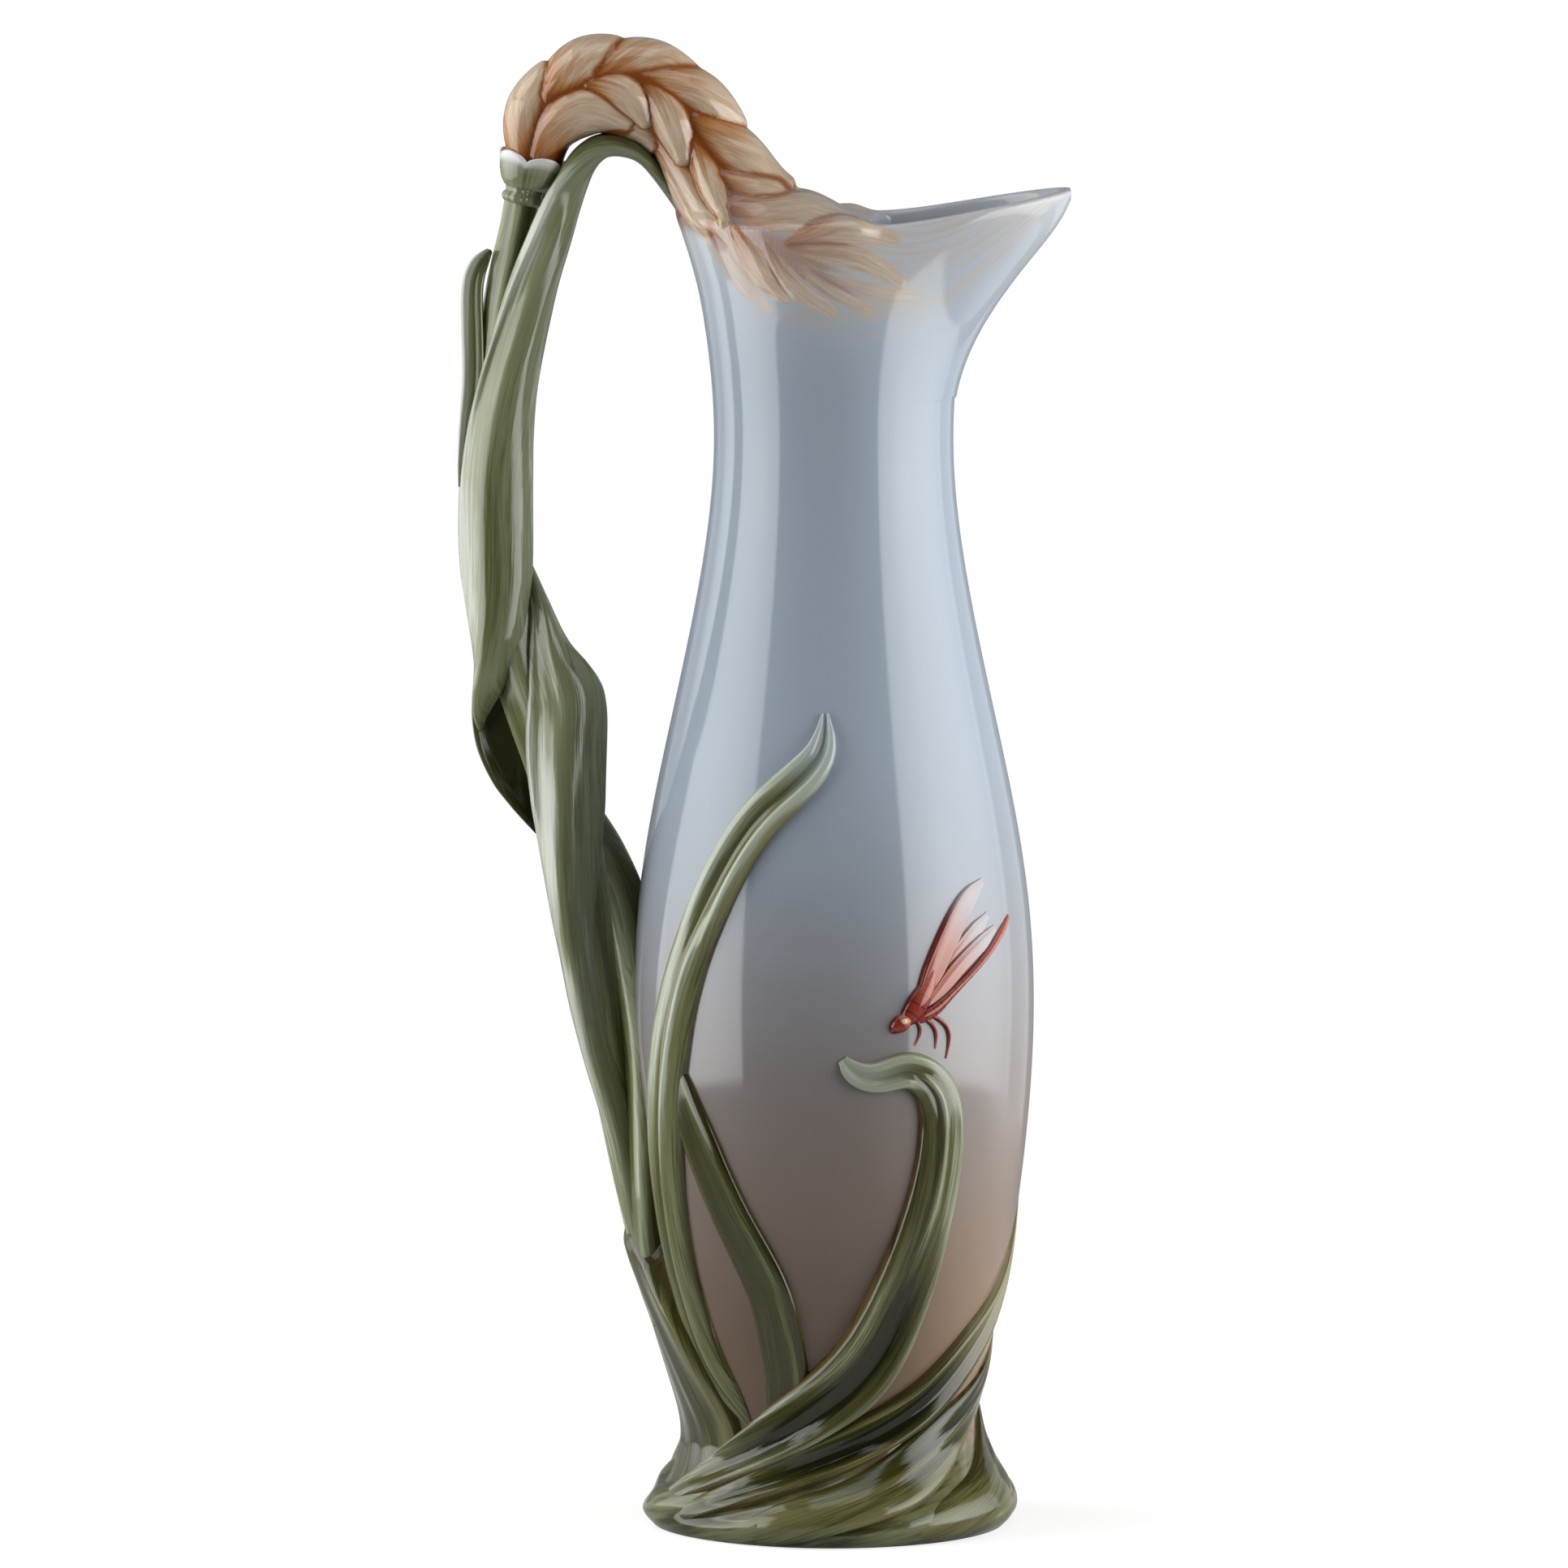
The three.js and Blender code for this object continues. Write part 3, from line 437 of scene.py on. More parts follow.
def rim_reach(aside):
    """Radius of the rim, by the share of it that points towards the spout."""
    to_spout = (SPOUT_REACH - MOUTH_RADIUS) * spout_share(aside)
    return MOUTH_RADIUS + to_spout + BACK_REACH * ((1 - aside) / 2) ** 2


def vessel_radius(aside, z):
    up = np.clip((z - FLARE_START) / (RIM - FLARE_START), 0, 1.2)
    flare = (rim_reach(aside) - RIM_RADIUS) * np.interp(up, FLARES, FLARE_TABLE)
    return np.interp(z, LEVELS, BODY_TABLE) + flare


def off_vessel(r, aside, z, wall=0.0):
    """Distance off the vessel's side, or off the inside of its wall."""
    slope = vessel_radius(aside, z + 0.5) - vessel_radius(aside, z - 0.5)
    return (r - vessel_radius(aside, z) + wall) / np.sqrt(1 + slope * slope)


def on_vessel(bearing, z, out=0.0):
    """Points on the vessel below its collar, lifted off along the surface's own direction."""
    bearing, z, out = np.broadcast_arrays(bearing, z, out)
    turn = np.radians(bearing)
    slope = BODY(z, 1)[..., 0]
    square = np.sqrt(1 + slope * slope)
    radius = BODY(z)[..., 0] + out / square
    return np.stack((radius * np.sin(turn), -radius * np.cos(turn), z - out * slope / square), -1)


def lathe(radii, heights, columns):
    turn = np.linspace(0, 2 * np.pi, columns, endpoint=False)
    r = np.asarray(radii)[:, None]
    z = np.broadcast_to(np.asarray(heights)[:, None], (len(radii), columns))
    return np.stack((r * np.sin(turn), -r * np.cos(turn), z), -1)


def vessel():
    columns = 288
    outside = np.concatenate((np.linspace(NECK, 40, 190), np.linspace(38.5, 0, 36)))
    rows = [(float(BODY(z)[0]), float(z)) for z in outside]
    rows += [(50.5, 0.0), (41.5, 0.0), (40.4, 0.5), (40.0, 1.4), (39.4, 2.6)]
    rows += [(37.5, RECESS), (20.0, RECESS), (4.0, RECESS)]
    skin = lathe(*zip(*rows), columns)
    level = skin[..., 2]
    around = 360 / columns * np.arange(columns)
    # Shallow twist round the foot, which bulges on the handle's side
    twist = np.sin(SWIRLS * (np.radians(around) - level * SWIRL_PITCH))
    swell = 1 + SWIRL_DEPTH * (twist - 0.6) * step(1.5, 9, level) * step(34, 22, level)
    skin[..., :2] *= swell[..., None]
    left = np.exp(-((around - BULGE_BEARING) / BULGE_WIDTH) ** 2)
    r = np.hypot(skin[..., 0], skin[..., 1])
    skin[..., :2] *= (1 + BULGE / r * left * step(26, 12, level) * step(40, 52, r))[..., None]
    inside = np.concatenate((np.linspace(NECK, 30, 110), np.linspace(27, 15, 6)))
    bowl = [(float(BODY(z)[0]) - WALL, float(z)) for z in inside]
    bowl += [(37.8, 12.4), (35.4, 10.4), (31.5, 9.3), (24, FLOOR), (12, FLOOR), (3, FLOOR)]
    hollow = lathe(*zip(*bowl), columns)
    points = np.concatenate((skin.reshape(-1, 3), hollow.reshape(-1, 3), ((0, 0, RECESS), (0, 0, FLOOR))))
    first = len(rows) * columns
    last = first + len(bowl) * columns
    ring = np.arange(columns)
    faces = [
        sheet_faces(len(rows), columns, closed=True)[:, ::-1],
        sheet_faces(len(bowl), columns, closed=True) + first,
        fan(first - columns + ring, last)[:, ::-1],
        fan(last - columns + ring, last + 1),
    ]
    z = points[:, 2]
    bearing = np.degrees(np.arctan2(points[:, 0], -points[:, 1]))
    inner = np.arange(len(points)) >= first
    # The foot is green up to a wavy line, which is higher at the back
    painted_to = z + 3 * np.sin(np.radians(bearing * 3)) - 8 * step(80, 110, np.abs(bearing))
    marks = {
        "inside": inner.astype(float),
        "foot": np.where(inner, 0, step(29, 22, painted_to)),
        "swirl": np.sin(SWIRLS * (np.radians(bearing) - z * SWIRL_PITCH)),
        "brush": np.stack((z - np.radians(bearing) * 12, z + np.radians(bearing) * 50, 0 * z), -1),
    }
    normals = vertex_normals(points, np.concatenate((faces[0], faces[1])))
    # The open edges take the direction of the collar's skin, which goes on from there
    open_edges = np.abs(z - NECK) < 1e-6
    turn = np.radians(bearing)
    direct = unit(np.stack((np.sin(turn), -np.cos(turn), -BODY(z, 1)[:, 0]), -1))
    normals[open_edges] = np.where(inner[:, None], -direct, direct)[open_edges]
    normals[last] = 0, 0, -1
    normals[last + 1] = 0, 0, 1
    paint = glaze("vessel_glaze", vessel_paint)
    fired("vessel", points, faces, paint, marks, normals, ["vessel_body"])


vessel()


# Collar, spout and ear of grain, which are one flowing skin

# Places along the ear's line, with its half thickness and half depth
EAR = np.array((
    (-91.4, 417.0, 8.6, 8.2), (-87.8, 428.2, 9.8, 9.2), (-80.5, 436.4, 11.2, 11.0),
    (-65.5, 440.0, 12.4, 11.8), (-49.5, 433.5, 12.6, 12.6), (-39.0, 419.5, 13.2, 14.5),
    (-30.5, 404.0, 15.8, 21.4), (-20.0, 392.0, 19.4, 30.0), (-8.0, 383.0, 22.0, 36.0),
))
EAR_KNOTS = stretch(EAR[:, :2])
EAR_LINE = Sweep(EAR_KNOTS, EAR[:, :2])


def nearest_on_ear(x, z):
    """Share of the ear's length nearest to places in its plane, and how far off they are."""
    x, z = np.broadcast_arrays(x, z)
    best = np.full(x.shape, np.inf)
    share = np.zeros(x.shape)
    for at in np.linspace(0, 1, 70):
        cx, cz = EAR_LINE(at)
        off = (x - cx) ** 2 + (z - cz) ** 2
        nearer = off < best
        best = np.where(nearer, off, best)
        share = np.where(nearer, at, share)
    place = np.stack((x, z), -1)
    for _ in range(3):
        off = place - EAR_LINE(share)
        way = EAR_LINE(share, 1)
        bend = (way * way).sum(-1) - (off * EAR_LINE(share, 2)).sum(-1)
        share = np.clip(share + (off * way).sum(-1) / np.maximum(bend, 2000), 0, 1)
    return share, np.linalg.norm(place - EAR_LINE(share), axis=-1)


def ear_field(x, y, z):
    share, off = nearest_on_ear(x, z)
    thick = ease(EAR_KNOTS, EAR[:, 2], share)
    deep = ease(EAR_KNOTS, EAR[:, 3], share)
    near = np.sqrt((off / thick) ** 2 + (y / deep) ** 2)
    rate = np.sqrt((off / thick ** 2) ** 2 + (y / deep ** 2) ** 2)
    return near * (near - 1) / np.maximum(rate, 1e-4)


ROOF = 388.0
ROOF_EDGE = 11.0
ROOF_BEND = 6.0
ROOF_HALF = 36.0
EDGE_FILLET = 7.0
ROOF_FILLET = 5.0
LIP_CREST = 0.6
OUTER_LIP = 3.2
INNER_LIP = 3.6
EAR_FILLET = 11.0


def hollow_field(x, y, z):
    """Below 0 in the hollow of the vessel and its mouth. The ear's root roofs it on the handle's side."""
    r = np.hypot(x, y)
    aside = x / np.maximum(r, 1e-6)
    inner = off_vessel(r, aside, np.minimum(z, rim_height(aside, r) + 1), WALL)
    mouth = trim(inner, ROOF_EDGE + ROOF_BEND * (y / ROOF_HALF) ** 2 - x, EDGE_FILLET)
    return melt(mouth, trim(inner, z - ROOF, ROOF_FILLET), ROOF_FILLET)


def collar_field(x, y, z):
    """Below 0 in the clay of the collar, the spout and the ear."""
    r = np.hypot(x, y)
    aside = x / np.maximum(r, 1e-6)
    collar = trim(off_vessel(r, aside, z), z - LIP_CREST - rim_height(aside, r), OUTER_LIP)
    blend = 0.5 + EAR_FILLET * step(NECK + 3, NECK + 21, z)
    solid = melt(collar, ear_field(x, y, z), blend)
    return trim(solid, -hollow_field(x, y, z), INNER_LIP)


def skin_of(field, origin, pitch):
    """Quads over the zero surface of a sampled field."""
    size = np.array(field.shape) - 1
    within = field < 0
    corners = [(i, j, k) for i in (0, 1) for j in (0, 1) for k in (0, 1)]
    count = sum(within[i:size[0] + i, j:size[1] + j, k:size[2] + k].astype(np.int8) for i, j, k in corners)
    cells = np.argwhere((count > 0) & (count < 8))
    number = np.full(size, -1, np.int32)
    number[tuple(cells.T)] = np.arange(len(cells))
    at = {c: field[tuple((cells + c).T)] for c in corners}
    total = np.zeros((len(cells), 3))
    hits = np.zeros(len(cells))
    for a in corners:
        for axis in range(3):
            if a[axis]:
                continue
            b = tuple(v + (n == axis) for n, v in enumerate(a))
            crossed = (at[a] < 0) != (at[b] < 0)
            share = np.where(crossed, at[a] / np.where(crossed, at[a] - at[b], 1), 0)
            spot = np.array(a) + share[:, None] * (np.arange(3) == axis)
            total += np.where(crossed[:, None], spot, 0)
            hits += crossed
    points = origin + (cells + total / hits[:, None]) * pitch
    quads = []
    for axis in range(3):
        u, v = (axis + 1) % 3, (axis + 2) % 3
        first = np.moveaxis(within, axis, 0)
        changed = np.moveaxis(first[1:] != first[:-1], 0, axis)
        edges = np.argwhere(changed)
        inside = (edges[:, (u, v)] > 0).all(1) & (edges[:, (u, v)] < size[[u, v]]).all(1)
        edges = edges[inside]
        back_u = (np.arange(3) == u).astype(int)
        back_v = (np.arange(3) == v).astype(int)
        quad = np.stack([
            number[tuple(e.T)] for e in (edges - back_u - back_v, edges - back_v, edges, edges - back_u)
        ], -1)
        flip = ~within[tuple(edges.T)]
        quad[flip] = quad[flip][:, ::-1]
        quads.append(quad)
    return points, np.concatenate(quads), cells


# Grains as lines in the photograph from root to tip, with their half widths to the left and right of the
# way they point, their rise in millimetres and the share of paint that they keep.
GRAINS = (
    ([(642, 193), (638, 153), (647, 115), (670, 82)], 26, 26, 3.6, 1.0),
    ([(675, 115), (698, 84), (728, 61), (764, 48)], 32, 32, 4.0, 1.0),
    ([(739, 87), (779, 66), (825, 64), (869, 89)], 34, 30, 4.0, 1.0),
    ([(797, 97), (846, 105), (881, 125), (915, 153)], 32, 25, 3.8, 1.0),
    ([(858, 148), (894, 171), (930, 196), (968, 230)], 30, 30, 3.6, 0.95),
    ([(889, 217), (917, 227), (953, 235), (989, 241)], 19, 19, 2.8, 0.9),
    ([(902, 255), (948, 257), (994, 257), (1050, 265)], 22, 30, 2.8, 0.8),
    ([(973, 299), (1009, 286), (1050, 283), (1101, 293)], 19, 22, 2.6, 0.8),
    ([(975, 303), (1031, 311), (1080, 327), (1110, 348)], 16, 19, 2.4, 0.72),
    ([(1000, 334), (1045, 352), (1090, 363), (1131, 366)], 14, 14, 1.6, 0.5),
    ([(662, 193), (685, 156), (721, 135), (774, 148)], 26, 36, 4.0, 1.0),
    ([(713, 191), (736, 168), (769, 158), (807, 181)], 17, 22, 3.2, 1.0),
    ([(726, 105), (759, 112), (782, 128), (796, 148)], 23, 22, 3.6, 1.0),
    ([(796, 102), (818, 133), (833, 166), (842, 196)], 23, 23, 3.7, 1.0),
    ([(855, 176), (869, 209), (882, 242), (892, 273)], 17, 19, 3.3, 1.0),
    ([(779, 163), (820, 199), (856, 245), (892, 301)], 19, 28, 2.8, 0.95),
    ([(905, 281), (925, 318), (945, 346), (969, 368)], 16, 18, 2.6, 0.85),
    ([(943, 303), (962, 336), (990, 363), (1026, 385)], 15, 15, 2.2, 0.72),
    ([(983, 321), (1010, 345), (1040, 366), (1075, 384)], 13, 14, 1.8, 0.6),
    ([(870, 263), (888, 303), (918, 350), (947, 382)], 14, 17, 1.5, 0.6),
)
# Grains that rise above the first keep their tips, and those below the second fade towards their edges
FULL_RISE = 3.0
FAINT_RISE = 2.75


def grain_relief(px, py):
    """Rise of the grains at pixels of the photograph, and the marks for their paint."""
    top = np.zeros(len(px))
    rise_of_all = np.zeros(len(px))
    second = np.zeros(len(px))
    brush = np.stack((px, py, 0 * px), -1) * PIXEL
    along = np.zeros(len(px))
    keep = np.zeros(len(px))
    for number, (line, left, right, rise, paint) in enumerate(GRAINS):
        spine = Sweep(stretch(line), line)(np.linspace(0, 1, 25))
        a, b = spine[:-1], spine[1:]
        way = b - a
        length = np.linalg.norm(way, axis=1)
        reach = 1.6 * max(left, right)
        near = (
            (px > spine[:, 0].min() - reach) & (px < spine[:, 0].max() + reach)
            & (py > spine[:, 1].min() - reach) & (py < spine[:, 1].max() + reach)
        )
        place = np.stack((px[near], py[near]), -1)
        off = place[:, None] - a
        t = np.clip((off * way).sum(-1) / length ** 2, 0, 1)
        gap = off - t[..., None] * way
        far = np.linalg.norm(gap, axis=-1)
        k = far.argmin(1)
        row = np.arange(len(k))
        share = (k + t[row, k]) / len(a)
        side = np.sign(way[k, 0] * gap[row, k, 1] - way[k, 1] * gap[row, k, 0])
        width = np.where(side < 0, left, right) * (0.3 + 0.7 * np.sin(np.pi * (0.03 + 0.9 * share)))
        w = far[row, k] / width
        dome = np.maximum(1 - w * w, 0) ** (2.0 - 1.05 * step(1.4, 3.0, rise))
        taper = 0.2 if rise > FULL_RISE else 0.75
        swell = (0.28 + 0.72 * step(-0.1, 0.6, share)) * (1 - taper * step(0.6, 1.0, share))
        height = rise * dome * swell
        here = np.flatnonzero(near)
        higher = height > top[here]
        second[here] = np.where(higher, top[here], np.maximum(second[here], height))
        top[here] = np.where(higher, height, top[here])
        rise_of_all[here] = -melt(-rise_of_all[here], -height, 0.8)
        taken = here[higher]
        along[taken] = share[higher]
        full = step(0.0, 0.35, dome) if rise < FAINT_RISE else np.ones(len(dome))
        keep[taken] = paint * full[higher]
        brush[taken] = np.stack((
            (side * far[row, k] * PIXEL)[higher],
            (share * length.sum() * PIXEL)[higher],
            np.full(higher.sum(), number * 7.3),
        ), -1)
    return rise_of_all, top - second, second, along, keep, brush


# Lines and places in the photograph: the furrow that runs down from the ear, the rim, the lower end of the
# pale streaks, and where the ear, the stain along the furrow and the collar's streaks begin or end
SEAM_LINE = ((880, 225), (896, 255), (910, 281), (947, 308), (983, 321), (1015, 338), (1050, 350))
RIM_LINE = (
    (800, 232), (989, 240), (1050, 265), (1081, 273), (1127, 279), (1178, 270), (1229, 250), (1280, 232),
    (1310, 226),
)
AWN_LINE = (
    (800, 236), (866, 288), (917, 357), (978, 416), (1050, 424), (1127, 408), (1203, 357), (1254, 306),
    (1310, 240),
)
EAR_ENDS_X = (860, 1000)
EAR_ENDS_Y = (262, 296)
EAR_LEAN = 0.6
EAR_LEAN_Y = 250
STAIN_HALF = (44, 8)
STAIN_ENDS_X = (1060, 1000)
STREAKS_BEGIN_X = (840, 900)


def collar_and_ear():
    pitch = 0.64
    nudge = 0.05
    low = np.array((-104.0, -56.32, NECK))
    size = np.array((276, 177, 177))
    x, y, z = (low[k] + pitch * np.arange(size[k]) for k in range(3))
    field = collar_field(x[:, None, None], y[None, :, None], z[None, None, :]).astype(np.float32)
    points, quads, cells = skin_of(field, low, pitch)

    def value(p):
        return collar_field(p[:, 0], p[:, 1], p[:, 2])

    for _ in range(2):
        here = value(points)
        slope = np.stack([(value(points + d) - here) / nudge for d in np.eye(3) * nudge], -1)
        points = points - slope * (here / np.maximum((slope * slope).sum(1), 0.2))[:, None]

    foot = cells[:, 2] == 0
    r = np.hypot(points[:, 0], points[:, 1])
    full = float(BODY(NECK)[0])
    inner = r < full - WALL / 2
    fitted = np.where(inner, full - WALL, full) / r
    points[foot, 0] *= fitted[foot]
    points[foot, 1] *= fitted[foot]
    points[foot, 2] = NECK

    hollow = hollow_field(points[:, 0], points[:, 1], points[:, 2])
    outer = step(1.2, 3.2, hollow) * step(NECK + 2, NECK + 12, points[:, 2])
    px, py = shown(points)
    top, apart, second, along, keep, brush = grain_relief(px, py)
    normals = vertex_normals(points, quads)
    points = points + normals * (top * outer * step(1.5, 12, hollow))[:, None]
    normals = vertex_normals(points, quads)
    away = unit(points[foot] * (1, 1, 0))
    away[:, 2] = -float(BODY(NECK, 1)[0])
    away = unit(away)
    normals[foot] = np.where(inner[foot, None], -away, away)

    rim_y = Sweep(*zip(*RIM_LINE))(px)[:, 0]
    awn_y = Sweep(*zip(*AWN_LINE))(px)[:, 0]
    on_ear = (1 - step(*EAR_ENDS_X, px + EAR_LEAN * (py - EAR_LEAN_Y))) * (1 - step(*EAR_ENDS_Y, py))
    seam = Sweep(stretch(SEAM_LINE), SEAM_LINE)(np.linspace(0, 1, 40))
    off_seam = np.min(np.hypot(px[:, None] - seam[:, 0], py[:, None] - seam[:, 1]), axis=1)
    stain = 0.6 * step(*STAIN_HALF, off_seam) * step(*STAIN_ENDS_X, px)
    awn = (py - rim_y) / np.maximum(awn_y - rim_y, 8)
    marks = {
        "groove": (1 - step(0.0, 1.9, apart)) * outer * np.maximum(on_ear, step(0.0, 0.7, second)),
        "along": along,
        "paint": np.maximum(np.maximum(keep, on_ear), stain) * outer,
        "awn": awn,
        "awn_length": px / 100,
        "collar": outer * step(1.08, 0.8, awn) * step(*STREAKS_BEGIN_X, px),
        "brush": brush,
    }
    nodes = [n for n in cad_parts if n.startswith("grain_") or n == "ear_core"]
    paint = glaze("grain_glaze", grain_paint)
    fired("collar_and_ear", points, [quads], paint, marks, normals, nodes)


def grain_paint(wash):
    """Cream grains with rust-brown furrows, which fade over the collar into fine pale streaks."""
    height = wash.node("ShaderNodeNewGeometry").part(2)
    plain = height.between(0.345, 0.42).over(PALE_BLUE, ink(196, 200, 205))
    fine = wash.brushed(1.5, 0.1, 4.0, 0.65)
    broad = wash.brushed(0.5, 0.06, 2.0)
    groove = wash.mark("groove")
    root = 1 - wash.mark("along")
    cream = fine.between(0.3, 0.72).over(ink(190, 162, 132), ink(210, 193, 171))
    amber = fine.between(0.25, 0.75).over(ink(150, 92, 41), ink(190, 139, 90))
    shade = (groove * 0.75 + root ** 1.5 * 0.95 + (broad - 0.5) * 0.9).between(0.1, 0.95)
    rust = (groove ** 1.6 * 0.75 + root ** 5.0 * 0.5).between(0.1, 1.0)
    grain = rust.over(shade.over(cream, amber), ink(132, 70, 27))
    lie = {"X": wash.mark("awn_length") * 0.55, "Y": wash.mark("awn") * 13.0, "Z": 0.0}
    awns = wash.node("ShaderNodeCombineXYZ", {}, lie).cloud(1.6, 4.0, 0.62)
    streaked = awns.between(0.38, 0.68) * wash.mark("collar") * 0.62
    ground = streaked.over(plain, ink(192, 178, 157))
    return wash.mark("paint").over(ground, grain)


collar_and_ear()


# Leaves, stems and blades: streaked green under the glaze

def leaf_glaze(name, *colours):
    """Streaked green glaze from its dark, middle and pale tones and those of its edge and tip."""
    dark, middle, pale, edge, tip = (ink(*c) for c in colours)

    def paint(wash):
        fine = wash.brushed(1.7, 0.045, 4.0, 0.62)
        broad = wash.brushed(0.42, 0.02, 2.0)
        low = wash.node("ShaderNodeNewGeometry").part(2).between(0.035, 0.004)
        # The crest mark brings each leaf's tones: its streaks, painted highlights and painted shade
        tone = wash.mark("crest") + (fine - 0.5) + (broad - 0.5) * 0.8 + low * 0.35
        colour = tone.between(0.05, 0.55).over(dark, middle)
        colour = tone.between(0.55, 1.05).over(colour, pale)
        colour = (wash.mark("edge") * fine.between(0.2, 0.6)).over(colour, edge)
        return wash.mark("tip").over(colour, tip)
    return glaze(name, paint, streaked=True)


HANDLE_GLAZE = leaf_glaze(
    "handle_leaf_glaze", (92, 97, 60), (129, 135, 101), (184, 190, 175), (200, 206, 194), (170, 176, 160))
STEM_GLAZE = leaf_glaze(
    "stem_glaze", (84, 86, 48), (118, 124, 82), (168, 176, 146), (120, 104, 66), (150, 158, 136))
# Dark green for the inside of the fold under the upper leaf: the underside's green with painted shade
SHADE_GLAZE = leaf_glaze(
    "leaf_underside_and_shade_glaze", (60, 60, 32), (92, 92, 60), (122, 126, 94), (98, 84, 52), (90, 92, 60))
BLADE_GLAZE = leaf_glaze(
    "blade_glaze", (36, 36, 12), (84, 83, 46), (154, 159, 133), (106, 82, 44), (158, 166, 150))
TALL_GLAZE = leaf_glaze(
    "tall_blade_glaze", (72, 72, 34), (118, 121, 82), (174, 182, 162), (120, 112, 74), (174, 187, 188))
FOOT_GLAZE = leaf_glaze(
    "foot_glaze", (24, 25, 6), (60, 59, 24), (112, 111, 70), (92, 80, 40), (132, 126, 84))
CALYX_GLAZE = leaf_glaze(
    "calyx_glaze", (88, 91, 60), (130, 135, 106), (182, 188, 175), (204, 208, 200), (218, 220, 216))


ACROSS = (-1, -0.94, -0.8, -0.5, -0.3, -0.1, 0.3, 0.8, 1)


def table(shares, rows, at, u, across=ACROSS):
    """Values over a leaf from rows of them, which stand at shares of its length."""
    lines = np.stack([ease(shares, [row[k] for row in rows], at) for k in range(len(across))], -1)
    return np.stack([ease(across, line, u) for line in lines])


def laid(centre, side, face, across, out):
    """Points beside a line, so far across it and out of it."""
    return centre[:, None] + side[:, None] * across[..., None] + face[:, None] * out[..., None]


def leaf(name, stations, rows, paint, steps=180):
    """A free leaf. A station is a pixel of the photograph, a half width, a depth and the way the leaf
    faces. A row is a share of the leaf's length, its thickness, and its heights and tones across."""
    sides = 49
    rear_share = 0.6
    blunt = 0.4
    st = np.array([(*s[:4], *s[4]) for s in stations], float)
    spots = sight(st[:, 0], st[:, 1], st[:, 3])
    knots = stretch(spots)
    at = np.linspace(0, 1, steps)
    spine = Sweep(knots, spots)
    centre = spine(at)
    way = unit(spine(at, 1))
    face = np.stack([ease(knots, st[:, 4 + k], at) for k in range(3)], -1)
    face = unit(face - way * (face * way).sum(1, keepdims=True))
    side = np.cross(face, way)
    half = ease(knots, st[:, 2], at)[:, None]
    u = np.sin(np.linspace(-1, 1, sides) * np.pi / 2)
    # The tones hold the green's streaks, painted highlights on lips and ridges, and painted shade on
    # facets turned from the light
    shares, thick, heights, tones = zip(*rows)
    lift = table(shares, heights, at, u)
    tone = table(shares, tones, at, u)
    edge = np.sqrt(np.maximum(1 - u * u, 0)) * np.minimum(ease(shares, thick, at)[:, None], half * 0.8)
    front = laid(centre, side, face, half * u, lift + edge)
    rear = laid(centre, side, face, half * u, lift * rear_share - edge)
    rings = np.concatenate((front, rear[:, -2:0:-1]), 1)
    around = np.concatenate((u, u[-2:0:-1]))
    behind = np.concatenate((np.zeros(sides), np.ones(sides - 2)))
    crest = np.concatenate((tone, tone[:, -2:0:-1] * rear_share), 1)
    ends = np.stack((centre[0] - way[0] * blunt, centre[-1] + way[-1] * blunt))
    brush = around * half, travel(centre)[:, None], behind * 9.0
    tube(name, rings, ends, paint, crest, brush, outwards=False)


def stalk(name, line, paint, flutes=5, depth=0.05):
    """A round stem through points, each with a radius."""
    steps = 150
    sides = 48
    line = np.array(line, float)
    knots = stretch(line[:, :3])
    at = np.linspace(0, 1, steps)
    path = Sweep(knots, line[:, :3])
    centre = path(at)
    way = unit(path(at, 1))
    side = unit(np.cross(FRONT, way))
    turn = np.linspace(0, 2 * np.pi, sides, endpoint=False)
    wave = np.cos(flutes * turn + 0.6)
    radius = ease(knots, line[:, 3], at)[:, None] * (1 + depth * wave)
    rings = laid(centre, side, np.cross(way, side), radius * np.sin(turn), radius * np.cos(turn))
    brush = np.abs(turn - np.pi) * radius, travel(centre)[:, None], 0.0
    tube(name, rings, centre[[0, -1]], paint, 0.5 + 0.4 * wave, brush, outwards=False)


